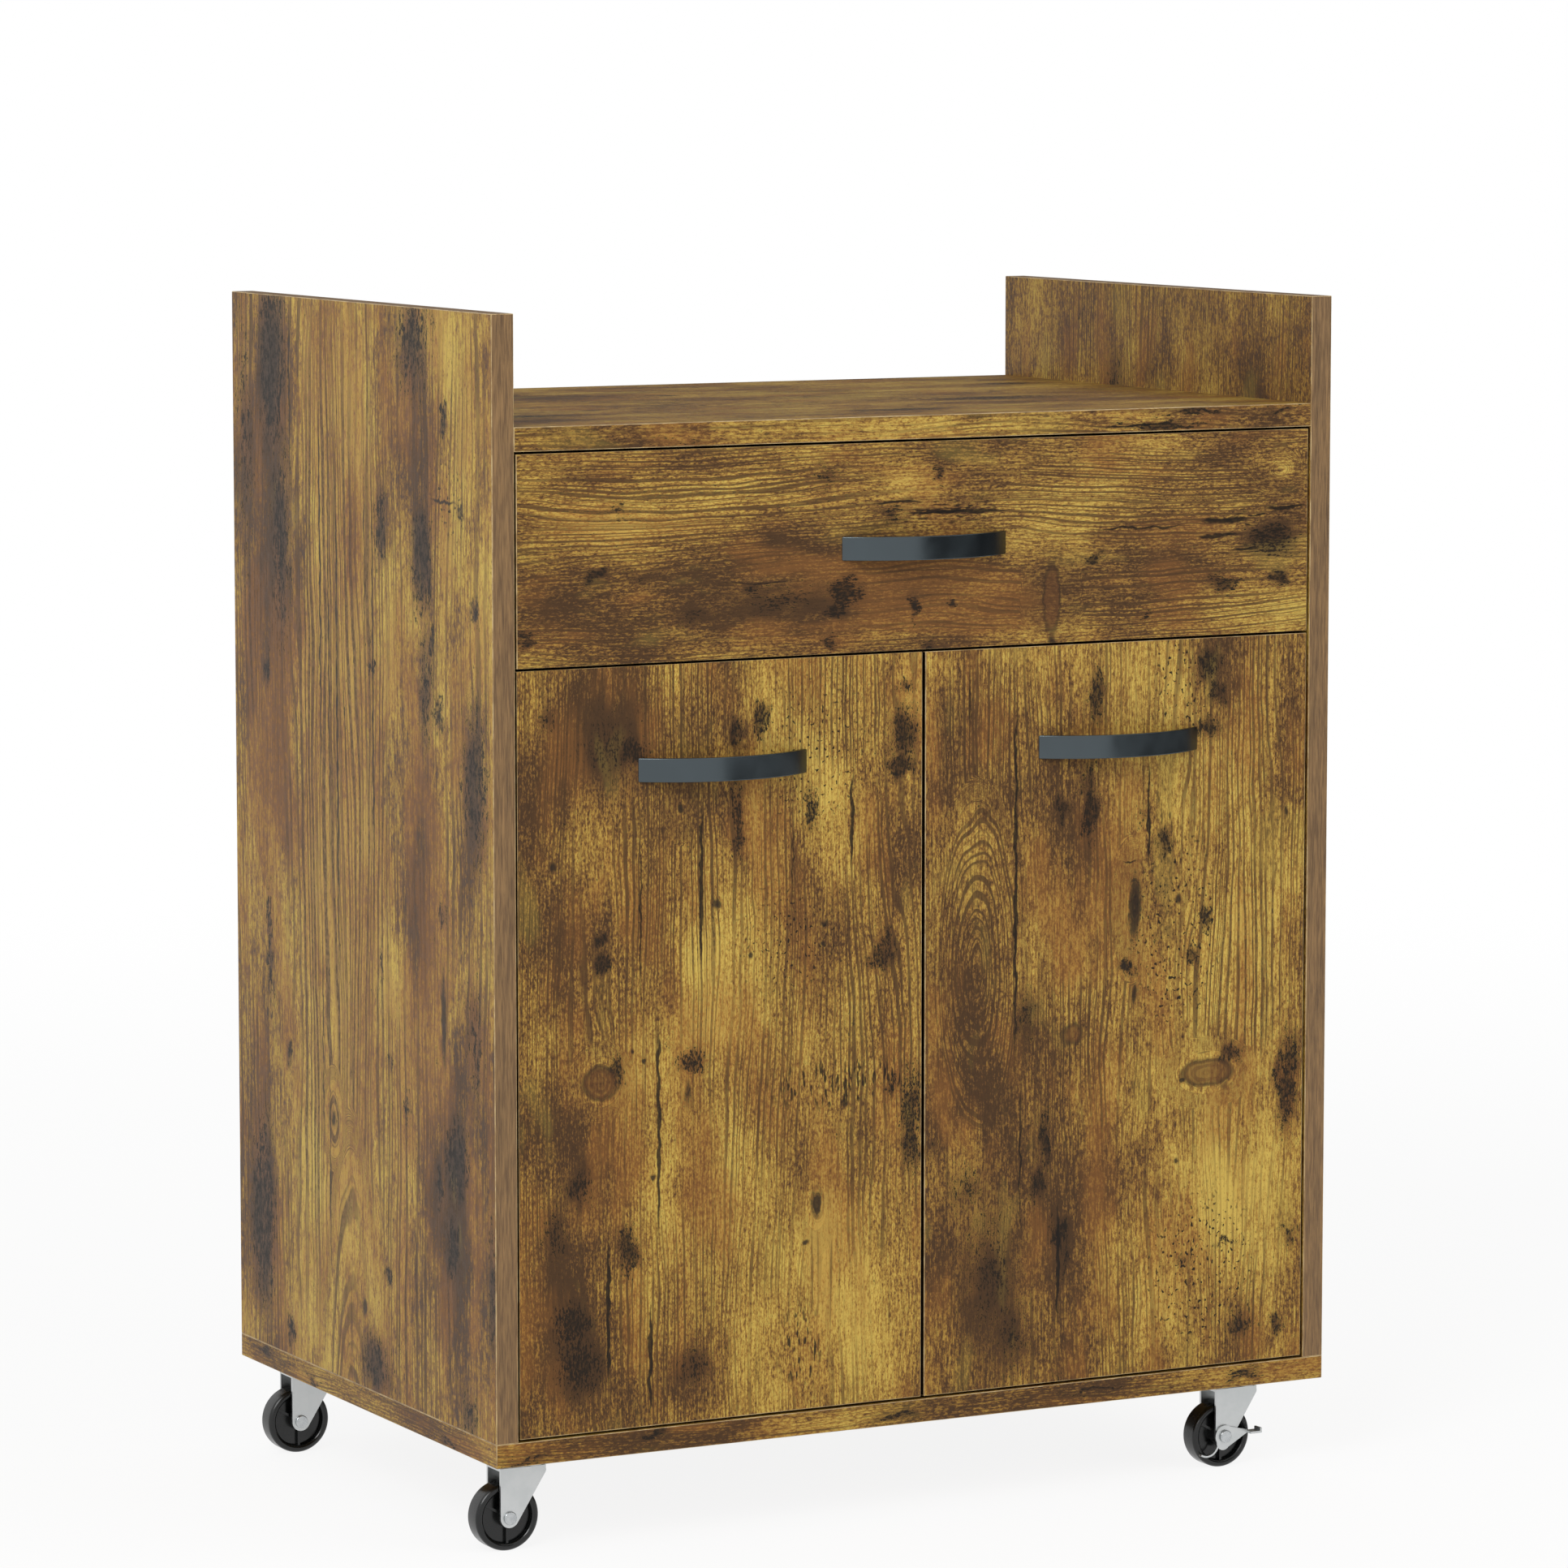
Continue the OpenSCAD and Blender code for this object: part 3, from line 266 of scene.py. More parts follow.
def laminateMaterial(name, node, facing, grain, seed, marks):
    material, tree, shader = startMaterial(name)
    space = boardSpace(tree, node, facing)
    coarse = marks.get("coarse", 1.0)

    def along(across, length):
        return (length, across, across) if grain == "right" else (across, length, across)

    def noise(key, widen=1.0, stretch=1.0):
        across, length, ownSeed, detail, roughness = laminateNoise[key]
        size = along(across * widen, length * stretch)
        return streakNoise(tree, space, size, seed + ownSeed, detail, roughness)

    def centredNoise(key, scale=1.0):
        return addNode(tree, "ShaderNodeMath", {0: noise(key, scale, scale), 1: 0.5}, operation="SUBTRACT")

    def marked(key, place):
        return markMask(tree, place, marks.get(key, []))

    def shown(key, pattern):
        # how strongly a print shows, by its row in the table
        start, end, least, most = laminatePrints[key]
        settings = {"Value": pattern, "From Min": start, "From Max": end, "To Min": least, "To Max": most}
        return addNode(tree, "ShaderNodeMapRange", settings, interpolation_type="SMOOTHSTEP")

    # growth rings: contour lines of a slowly wandering height, long along the grain and closed round ovals
    axes = addNode(tree, "ShaderNodeSeparateXYZ", {0: space}).outputs
    height = weightedSum(tree, axes["Y"] if grain == "right" else axes["X"],
                         (axes["Z"], laminate["lineLean"]), (noise("drift"), laminate["lineDrift"]))
    if marks.get("rings"):
        ovals = marked("rings", space)
        height = addNode(tree, "ShaderNodeMix", {"Factor": shown("ovals", ovals), "A": height, "B": ovals})
    height = weightedSum(tree, height, (noise("sway"), laminate["lineSway"]))
    gap = marks.get("gap", laminate["lineGap"])
    detail, roughness = laminate["lineDetail"]
    settings = {"W": height, "Scale": 1 / gap, "Detail": detail, "Roughness": roughness}
    lines = addNode(tree, "ShaderNodeTexNoise", settings, noise_dimensions="1D").outputs["Fac"]

    fibre = centredNoise("fibre", coarse)
    grit = centredNoise("grit", coarse)
    wide, long, reach = laminate["ragged"]
    ragged = wobble(tree, space, along(wide, long), reach, seed)
    wide, long, reach = laminate["fine"]
    fine = wobble(tree, space, along(wide, long), reach, seed + 1)
    settings = {0: shown("ringShare", noise("ringShare")), 1: shown("lined", marked("lined", ragged))}
    ringShare = addNode(tree, "ShaderNodeMath", settings, operation="MAXIMUM")

    # the print's tone, from dark brown to ochre, with light and brown patches laid on it and the board's
    # lift added, which on the left panel is painted sheen
    tone = weightedSum(
        tree, laminate["middleTone"] + marks.get("liftAndSheen", 0.0), (centredNoise("tone"), laminate["toneShare"]),
        (marked("glow", ragged), laminate["glow"]), (marked("brown", ragged), laminate["brown"]),
        (fibre, laminate["fibreShare"]), (grit, laminate["gritShare"]))
    ramp = addNode(tree, "ShaderNodeValToRGB", {"Fac": tone})
    while len(ramp.color_ramp.elements) < len(laminate["tones"]):
        ramp.color_ramp.elements.new(0.5)
    for element, (place, code) in zip(ramp.color_ramp.elements, laminate["tones"]):
        element.position = place
        element.color = hexColor(code)
    hue = weightedSum(tree, noise("patch"), (1.0, marks.get("hue", 0.0)),
                      (marked("warm", ragged), laminate["warm"]))

    # smoke and knots, with borders that break up into the grit, which also wears the darker prints
    worn = shown("worn", grit)
    settings = {0: marked("smoke", ragged), 1: shown("haze", noise("haze"))}
    smoke = addNode(tree, "ShaderNodeMath", settings, operation="MAXIMUM")
    smoke = weightedSum(tree, smoke, (grit, laminate["smokeGrit"]), (fibre, laminate["smokeFibre"]))
    knots = weightedSum(tree, marked("knots", fine), (grit, laminate["knotGrit"]))
    layers = [
        ("rust", [shown("rust", hue)]),
        ("olive", [shown("olive", hue)]),
        ("line", [shown("rings", lines), ringShare, worn]),
        ("line", [shown("veins", noise("veins", coarse))]),
        ("smoke", [shown("smoke", smoke), worn]),
    ]
    if marks.get("eyes"):
        eyes = marked("eyes", fine)
        layers += [
            ("eye", [shown("eye", eyes), worn]),
            ("knot", [shown("eyeRim", eyes), shown("eyeHollow", eyes), worn]),
        ]
    layers += [
        ("knot", [shown("knots", knots)]),
        ("crack", [shown("cracks", marked("cracks", fine))]),
        ("crack", [shown("pores", noise("pores")), shown("poreShare", marked("dashes", fine))]),
        ("crack", [shown("holes", noise("holes")), shown("holeShare", marked("holes", ragged))]),
    ]
    color = ramp
    for key, shares in layers:
        cover = shares[0]
        for share in shares[1:]:
            cover = addNode(tree, "ShaderNodeMath", {0: cover, 1: share}, operation="MULTIPLY")
        settings = {"Fac": cover, "Color1": color, "Color2": hexColor(laminate[key])}
        color = addNode(tree, "ShaderNodeMixRGB", settings)
    dressShader(tree, shader, laminate, color, relief=fibre, shine=grit)
    return material


# What the eye finds on each board, placed in mm from its upper left corner as seen from outside:
# x, y, half width, half height, strength. Rings have their height in mm as strength. Lift, hue, gap and
# coarse set a board's own tone, warmth, ring gap in mm and size of grain; on the left panel the lift is
# painted sheen.
leftDoorMarks = {
    "liftAndSheen": 0.018,
    "smoke": [
        (80, 53, 15, 13, 1.0), (151, 46, 9, 16, 0.9), (152, 100, 7, 42, 0.9), (168, 36, 9, 18, 0.9),
        (202, 95, 8, 22, 0.9), (270, 22, 9, 8, 0.8), (269, 50, 16, 24, 1.0), (268, 71, 14, 11, 1.0),
        (253, 191, 12, 15, 1.0), (257, 180, 7, 12, 0.8), (57, 169, 7, 8, 0.9), (58, 184, 9, 10, 0.9),
        (275, 298, 11, 48, 1.1), (262, 274, 10, 7, 0.8), (75, 365, 11, 21, 1.0), (42, 323, 15, 19, 0.7),
        (24, 350, 14, 28, 0.6), (36, 408, 20, 20, 0.9), (42, 434, 28, 32, 0.7), (66, 252, 7, 15, 0.8),
        (119, 249, 16, 11, 0.9), (121, 440, 22, 20, 0.6), (20, 30, 10, 14, 0.5), (64, 50, 34, 40, 0.45),
    ],
    "knots": [
        (207, 346, 5, 12, 1.0), (112, 90, 4.5, 5, 0.9), (137, 151, 6, 6, 0.8), (24, 121, 4, 6, 0.8),
        (199, 370, 4, 3, 0.9), (92, 320, 3, 3, 0.9), (86, 246, 3, 3, 0.9), (78, 239, 3, 3, 0.9),
        (212, 167, 5, 4, 0.7), (212, 180, 3, 3, 0.9), (160, 185, 3, 4, 0.8), (228, 284, 4, 4, 0.7),
        (116, 268, 5, 18, 0.6),
    ],
    "cracks": [
        (126, 138, 1.6, 60, 1.0), (232, 105, 1.4, 40, 0.9), (96, 290, 1.8, 84, 1.0),
        (61, 402, 1.6, 56, 1.0), (90, 435, 1.6, 44, 1.0), (84, 160, 1.2, 90, 0.5),
        (245, 330, 1.0, 60, 0.3), (190, 130, 1.0, 50, 0.4),
    ],
    "brown": [
        (40, 60, 110, 110, 1.4), (40, 170, 70, 100, 1.1), (55, 257, 18, 15, 1.0),
        (105, 198, 20, 26, 0.7), (270, 135, 20, 55, 0.8), (30, 410, 70, 150, 1.5),
        (121, 440, 32, 32, 0.8), (28, 290, 50, 90, 1.2), (128, 328, 26, 17, 0.5),
        (150, 90, 60, 60, 0.35), (265, 290, 26, 60, 0.5),
    ],
    "glow": [
        (210, 50, 80, 80, 1.0), (140, 165, 60, 90, 0.8), (150, 300, 50, 60, 0.8),
        (150, 410, 60, 80, 0.8), (225, 400, 70, 120, 0.6), (140, 287, 36, 36, 0.7),
        (85, 430, 14, 60, 0.9), (215, 255, 80, 80, 0.9),
    ],
    "dashes": [(226, 270, 70, 20, 1.0), (196, 436, 20, 34, 1.0)],
    "holes": [(205, 60, 60, 70, 0.6), (190, 180, 60, 60, 0.5)],
    "eyes": [(56, 258, 15, 13, 1.0)],
    "lined": [
        (112, 24, 40, 52, 1.0), (222, 30, 60, 60, 0.7), (110, 130, 60, 90, 1.0),
        (250, 240, 50, 90, 0.8),
    ],
    "warm": [(110, 250, 70, 120, 1.0), (130, 350, 60, 60, 0.8), (180, 100, 40, 60, 0.6)],
    "rings": [(207, 346, 16, 34, 13), (112, 90, 12, 24, 9), (56, 257, 24, 26, 16)],
}
rightDoorMarks = {
    "liftAndSheen": 0.016,
    "smoke": [
        (120, 103, 9, 36, 1.0), (126, 33, 10, 26, 0.9), (209, 17, 16, 15, 0.8), (216, 36, 12, 12, 0.7),
        (208, 59, 16, 12, 0.9), (148, 212, 9, 9, 0.9), (208, 181, 6, 12, 0.9), (198, 207, 9, 10, 0.8),
        (176, 130, 9, 18, 0.7), (99, 104, 7, 16, 0.7), (270, 294, 13, 50, 1.0), (88, 318, 8, 30, 0.9),
        (84, 346, 11, 18, 0.8), (99, 380, 11, 17, 1.0), (104, 396, 5, 24, 0.7), (228, 272, 12, 10, 0.9),
        (236, 450, 16, 13, 0.7), (263, 453, 9, 9, 0.9), (226, 397, 15, 5, 0.7), (192, 407, 6, 6, 0.7),
        (48, 400, 34, 76, 0.5), (64, 442, 20, 46, 0.55), (74, 236, 12, 26, 0.6), (274, 396, 9, 14, 0.7),
        (30, 345, 20, 30, 0.5),
    ],
    "knots": [
        (154, 172, 7.5, 33, 1.1), (146, 210, 7, 6, 0.9), (154, 228, 4, 14, 0.8),
        (187, 168, 3.5, 6, 0.9), (268, 117, 3, 6, 0.8), (207, 181, 4, 8, 0.7), (223, 293, 5, 6, 0.5),
        (190, 287, 3, 3, 1.0), (186, 340, 3, 4, 0.7),
    ],
    "cracks": [
        (66, 150, 1.5, 155, 0.9), (164, 112, 1.3, 44, 0.8), (98, 400, 1.4, 52, 0.8),
        (32, 30, 1.0, 40, 0.4), (70, 330, 1.2, 70, 0.5), (150, 142, 8, 1.2, 0.5),
    ],
    "brown": [
        (38, 60, 80, 120, 0.8), (105, 160, 50, 110, 0.9), (45, 405, 100, 150, 1.6),
        (105, 340, 60, 90, 0.8), (45, 300, 90, 110, 1.4), (38, 180, 70, 110, 0.9),
        (215, 28, 40, 50, 0.7), (262, 60, 30, 80, 0.5), (30, 230, 50, 90, 0.35),
        (268, 290, 24, 60, 0.6),
    ],
    "glow": [
        (150, 25, 36, 50, 0.9), (185, 25, 22, 56, 1.1), (145, 110, 26, 50, 0.7),
        (235, 180, 64, 100, 1.2), (228, 385, 74, 120, 1.4), (165, 290, 44, 50, 0.6),
        (250, 255, 34, 50, 0.6), (160, 430, 40, 50, 0.5),
    ],
    "dashes": [(176, 120, 16, 40, 0.4)],
    "holes": [(190, 30, 30, 45, 1.0), (186, 190, 40, 80, 1.0), (205, 415, 55, 70, 0.8)],
    "eyes": [(209, 283, 24, 10, 1.0), (108, 251, 10, 9, 0.7)],
    "lined": [
        (40, 205, 44, 140, 1.0), (50, 60, 60, 80, 0.8), (230, 210, 60, 90, 1.0),
        (110, 250, 60, 50, 0.8),
    ],
    "warm": [(120, 180, 60, 120, 1.0), (150, 380, 60, 80, 0.8)],
    "rings": [(38, 205, 36, 125, 46), (209, 283, 40, 24, 16), (154, 172, 18, 52, 10)],
}
drawerMarks = {
    "gap": 1.7,
    "liftAndSheen": -0.045,
    "smoke": [
        (227, 92, 16, 14, 1.1), (221, 105, 12, 10, 1.0), (180, 96, 60, 16, 0.5), (215, 123, 7, 7, 0.9),
        (53, 74, 12, 7, 0.9), (5, 112, 13, 5, 1.0), (71, 36, 9, 13, 0.5), (214, 20, 12, 12, 0.6),
        (258, 44, 16, 9, 0.7), (276, 104, 6, 10, 0.9), (302, 103, 6, 5, 0.8), (294, 21, 6, 8, 0.8),
        (286, 128, 9, 6, 0.8), (407, 76, 10, 6, 0.9), (546, 97, 13, 8, 1.0), (506, 97, 19, 7, 0.8),
        (540, 70, 30, 14, 0.9), (163, 88, 14, 5, 0.7), (120, 104, 22, 8, 0.5), (85, 78, 20, 7, 0.5),
        (445, 118, 8, 4, 0.6),
    ],
    "eyes": [(376, 103, 7.5, 27, 1.0)],
    "lined": [(120, 35, 160, 50, 1.0), (440, 40, 150, 40, 1.0), (480, 115, 120, 24, 0.8)],
    "knots": [(376, 130, 5, 6, 0.8), (277, 102, 4, 8, 0.8), (303, 102, 4, 3, 0.8)],
    "cracks": [
        (306, 45, 46, 1.5, 1.0), (265, 38, 22, 1.4, 0.8), (505, 57, 22, 2.2, 1.0),
        (550, 50, 20, 1.6, 0.9), (500, 67, 20, 1.6, 0.9), (440, 60, 50, 1.1, 0.7),
        (520, 76, 14, 1.2, 0.8), (170, 84, 50, 1.0, 0.4),
    ],
    "brown": [
        (190, 98, 220, 50, 1.9), (300, 100, 110, 30, 0.8), (410, 98, 46, 20, 0.9),
        (300, 6, 50, 12, 0.8), (530, 65, 44, 20, 0.6), (376, 104, 8, 24, 0.9), (235, 20, 40, 16, 0.5),
        (20, 95, 40, 20, 0.5),
    ],
    "glow": [
        (60, 48, 80, 32, 0.8), (140, 34, 100, 28, 0.8), (268, 30, 44, 18, 0.7), (16, 124, 30, 12, 1.0),
        (255, 120, 34, 15, 0.9), (515, 116, 80, 18, 1.0), (548, 26, 9, 9, 1.6), (430, 36, 90, 30, 0.6),
    ],
    "dashes": [(300, 44, 60, 14, 0.6), (530, 60, 40, 16, 0.7)],
    "warm": [(250, 90, 160, 40, 1.0), (500, 60, 60, 40, 0.6)],
    "rings": [(376, 103, 24, 40, 9), (546, 26, 26, 18, 8)],
}
leftPanelMarks = {
    "coarse": 1.6,
    "gap": 4.2,
    "hue": 0.06,
    # painted sheen: lightens the whole left panel the way the pale gloss of a grazing view would
    "liftAndSheen": 0.085,
    "smoke": [
        (66, 40, 34, 90, 0.95), (78, 150, 26, 110, 0.7), (20, 90, 22, 140, 0.5),
        (235, 140, 13, 42, 0.9), (297, 156, 23, 46, 1.1), (302, 235, 17, 60, 0.7),
        (285, 22, 40, 56, 0.75), (353, 121, 9, 12, 1.0), (374, 184, 10, 13, 1.0), (331, 66, 8, 18, 0.9),
        (322, 250, 11, 18, 1.0), (53, 244, 7, 22, 0.9), (81, 205, 7, 18, 0.7), (219, 229, 8, 13, 0.7),
        (374, 290, 30, 76, 0.8), (312, 205, 8, 18, 0.9), (326, 374, 10, 13, 0.8), (84, 496, 9, 15, 0.8),
        (40, 605, 30, 96, 0.95), (54, 424, 8, 56, 0.8), (345, 527, 25, 38, 1.0),
        (338, 583, 13, 34, 0.9), (318, 545, 6, 28, 0.8), (220, 678, 30, 30, 0.9),
        (241, 617, 9, 11, 0.9), (362, 684, 22, 26, 0.6), (372, 450, 22, 70, 0.5),
        (396, 600, 14, 70, 0.6), (84, 680, 10, 20, 0.8), (232, 420, 6, 20, 0.6), (246, 480, 6, 12, 0.7),
        (270, 505, 10, 24, 0.5),
    ],
    "knots": [
        (156, 528, 8, 11, 0.7), (203, 643, 6, 10, 1.0), (326, 440, 6, 52, 0.9), (183, 495, 5, 14, 0.5),
        (356, 121, 5, 9, 0.7), (375, 186, 5, 10, 0.7),
    ],
    "cracks": [
        (140, 190, 1.6, 190, 0.7), (153, 230, 1.6, 210, 0.6), (166, 270, 1.8, 260, 0.7),
        (222, 250, 1.5, 230, 0.6), (93, 60, 1.6, 70, 0.7), (210, 150, 1.4, 130, 0.5),
        (330, 118, 26, 1.6, 0.6), (150, 560, 1.4, 110, 0.5), (140, 480, 1.4, 120, 0.5),
        (282, 610, 1.2, 70, 0.4),
    ],
    "brown": [
        (192, 146, 17, 62, 1.3), (300, 240, 26, 84, 0.8), (286, 520, 22, 120, 0.7),
        (46, 190, 80, 280, 2.3), (280, 90, 60, 130, 1.1), (345, 560, 90, 200, 2.3),
        (40, 600, 80, 150, 1.7), (355, 330, 60, 160, 0.9), (290, 330, 50, 200, 1.5),
        (250, 690, 70, 60, 1.2),
    ],
    "glow": [
        (190, 246, 17, 72, 1.3), (356, 60, 36, 90, 1.0), (130, 570, 40, 150, 1.3),
        (160, 430, 60, 130, 1.2), (160, 220, 50, 150, 1.0), (20, 300, 28, 66, 0.7),
        (255, 420, 46, 70, 0.5), (180, 40, 30, 60, 0.6), (215, 330, 16, 66, 0.7),
        (170, 620, 30, 60, 0.6), (345, 420, 20, 40, 0.4),
    ],
    "dashes": [(55, 440, 20, 80, 0.6)],
    "holes": [(330, 120, 60, 60, 0.4)],
    "lined": [(150, 330, 80, 420, 1.0), (215, 330, 40, 260, 1.0), (280, 640, 60, 90, 0.7)],
    "warm": [(175, 300, 70, 420, 2.2), (60, 300, 60, 160, 1.2), (300, 420, 50, 160, 1.2)],
    "rings": [(183, 745, 48, 230, 50), (156, 528, 20, 36, 22), (84, 496, 16, 28, 18)],
}
rightPanelMarks = {
    "smoke": [
        (90, 160, 30, 90, 0.9), (250, 90, 24, 60, 0.8), (330, 420, 30, 110, 0.9),
        (120, 560, 26, 60, 0.9), (210, 330, 10, 30, 0.8), (60, 380, 12, 26, 0.8),
        (290, 620, 18, 40, 0.7), (370, 190, 12, 30, 0.8),
    ],
    "knots": [
        (170, 250, 7, 11, 1.0), (300, 300, 6, 9, 0.9), (140, 470, 8, 12, 0.9), (240, 540, 5, 8, 0.9),
    ],
    "cracks": [(100, 300, 1.6, 180, 0.8), (205, 480, 1.6, 140, 0.8), (270, 180, 1.5, 120, 0.7)],
    "brown": [(60, 100, 60, 120, 0.8), (320, 480, 60, 120, 0.9), (170, 600, 50, 70, 0.7)],
    "glow": [
        (180, 160, 50, 120, 0.9), (330, 120, 40, 90, 0.8), (80, 460, 44, 110, 0.9),
        (220, 640, 40, 60, 0.8),
    ],
    "dashes": [(180, 420, 50, 40, 0.8)],
    "holes": [(300, 250, 50, 60, 0.7)],
    "rings": [(170, 250, 20, 44, 16), (140, 470, 22, 48, 18), (230, 380, 40, 170, 34)],
}
topMarks = {
    "smoke": [
        (120, 80, 70, 24, 0.9), (420, 250, 90, 30, 0.9), (300, 340, 60, 20, 0.8),
        (520, 100, 40, 20, 0.8), (200, 200, 30, 12, 0.7), (60, 300, 50, 18, 0.7),
    ],
    "knots": [(240, 130, 12, 7, 1.0), (460, 180, 9, 6, 0.9), (120, 260, 11, 7, 0.9)],
    "cracks": [(200, 90, 120, 1.6, 0.8), (400, 300, 110, 1.6, 0.8)],
    "brown": [(150, 120, 140, 50, 0.8), (450, 280, 120, 50, 0.8)],
    "glow": [(330, 130, 130, 50, 0.9), (180, 330, 120, 44, 0.8)],
    "rings": [(240, 130, 44, 22, 16), (300, 240, 190, 50, 30)],
}
shelfEdgeMarks = {
    "liftAndSheen": -0.02,
    "smoke": [
        (458, 12, 46, 4, 1.0), (480, 4, 40, 3, 0.9), (550, 3, 24, 3, 0.8), (120, 12, 40, 3, 0.5),
    ],
    "cracks": [(440, 11, 40, 1, 0.7)],
    "brown": [(500, 8, 90, 10, 0.6)],
    "glow": [(300, 8, 120, 10, 0.9), (100, 6, 80, 8, 0.5)],
}
bottomEdgeMarks = {
    "liftAndSheen": -0.06,
    "smoke": [
        (110, 4, 14, 3, 0.9), (280, 10, 26, 4, 0.8), (430, 6, 30, 3, 0.8), (20, 12, 20, 4, 0.8),
        (540, 8, 20, 5, 0.8),
    ],
    "brown": [(60, 8, 60, 10, 0.8), (380, 8, 80, 10, 0.6)],
    "glow": [(220, 8, 60, 10, 0.8), (490, 8, 60, 10, 0.7)],
}
bottomSideMarks = {
    "smoke": [(40, 5, 20, 5, 0.8), (120, 9, 20, 5, 0.8), (330, 10, 22, 5, 0.7)],
    "brown": [(70, 8, 60, 10, 0.8), (300, 8, 50, 10, 0.6)],
    "glow": [(190, 8, 50, 10, 0.8), (390, 8, 20, 10, 0.6)],
}

# Edge band: a strip of plain printed PVC glued round the side panels, smoother and calmer than the boards.
edgeBand = {
    "light": "#86663d", "dark": "#5e4427", "spread": (0.3, 0.7),
    "fibre": (0.8, 16.0),  # mm wide and long
    "streak": 5.0,         # how many times wider and longer the soft streaks are
    "shade": (0.3, 0.7, 0.86, 1.08),  # streaks from and to, brightness from and to
    "roughness": 0.4, "relief": (0.04, 0.5), "shader": {"IOR": 1.5},
}


def edgeBandMaterial(name, node, seed):
    material, tree, shader = startMaterial(name)
    space = boardSpace(tree, node, "front")
    wide, long = edgeBand["fibre"]
    size = (wide, long, wide)
    fibre = streakNoise(tree, space, size, seed, detail=3.0, roughness=0.6)
    streaks = streakNoise(tree, space, [s * edgeBand["streak"] for s in size], seed + 1)
    start, end, dim, bright = edgeBand["shade"]
    settings = {"Value": streaks, "From Min": start, "From Max": end, "To Min": dim, "To Max": bright}
    shade = addNode(tree, "ShaderNodeMapRange", settings, interpolation_type="SMOOTHSTEP")
    settings = {"Fac": 1.0, "Color1": twoTone(tree, edgeBand, fibre), "Color2": shade}
    color = addNode(tree, "ShaderNodeMixRGB", settings, blend_type="MULTIPLY")
    dressShader(tree, shader, edgeBand, color, relief=fibre)
    return material


# Dark band: the narrow sides of the drawer front and doors, in plain dark brown PVC, made near black as
# painted shade so that the gaps round the fronts read as black.
narrowBandAndGapShade = {
    "light": "#1f160d", "dark": "#140d07", "spread": (0.3, 0.7),
    "fibre": (0.8, 12.0),
    "roughness": 0.5, "relief": (0.04, 0.4), "shader": {"Specular IOR Level": 0.2},
}


def darkBandAndGapShadeMaterial(name):
    material, tree, shader = startMaterial(name)
    wide, long = narrowBandAndGapShade["fibre"]
    fibre = streakNoise(tree, objectSpace(tree), (long, wide, long), seed=4, detail=3.0, roughness=0.6)
    dressShader(tree, shader, narrowBandAndGapShade, twoTone(tree, narrowBandAndGapShade, fibre), relief=fibre)
    return material


# Scraped edge: where two skins meet, the trimmed film shows as a thin pale line; the pale colour on the
# eased edges is partly this and partly a painted highlight.
edgeLineAndHighlight = {"light": "#bfa677", "dark": "#8f7248", "spread": (0.35, 0.65), "run": 14.0, "roughness": 0.36}


def edgeLineAndHighlightMaterial(name):
    material, tree, shader = startMaterial(name)
    wear = streakNoise(tree, objectSpace(tree), (edgeLineAndHighlight["run"],) * 3, seed=3, detail=4.0, roughness=0.7)
    dressShader(tree, shader, edgeLineAndHighlight, twoTone(tree, edgeLineAndHighlight, wear))
    return material


# Inner boards: plain melamine in a calm brown, with a straight fine print.
innerBoard = {
    "light": "#96744a", "dark": "#7b5a36", "spread": (0.55, 1.05),
    "fibre": (1.2, 40.0), "fibreShare": 0.6,
    "broad": (14.0, 260.0),
    "seed": 9, "roughness": 0.46, "relief": (0.04, 0.4),
}


def innerBoardMaterial(name, alongAxis, seed):
    material, tree, shader = startMaterial(name)
    space = objectSpace(tree)

    def size(wide, long):
        return [long if axis == alongAxis else wide for axis in "XYZ"]

    fibre = streakNoise(tree, space, size(*innerBoard["fibre"]), seed, detail=3.0, roughness=0.6)
    broad = streakNoise(tree, space, size(*innerBoard["broad"]), seed + 1, detail=3.0)
    color = twoTone(tree, innerBoard, weightedSum(tree, broad, (fibre, innerBoard["fibreShare"])))
    dressShader(tree, shader, innerBoard, color, relief=fibre)
    return material


# Hardboard: pressed wood fibre, matt, with a mottle of short fibres and a few dark bark specks.
hardboard = {
    "light": "#8a6947", "dark": "#6d5034", "spread": (0.8, 1.4),
    "fibre": (0.7, 4.0), "mottle": 3.0,
    "cloud": 90.0, "shade": (0.3, 0.7, 0.94, 1.04),
    "fleck": "#463321", "fleckWidth": 2.0, "fleckShow": (0.7, 0.8, 0.0, 0.8),
    "roughness": 0.72, "relief": (0.1, 0.6),
}


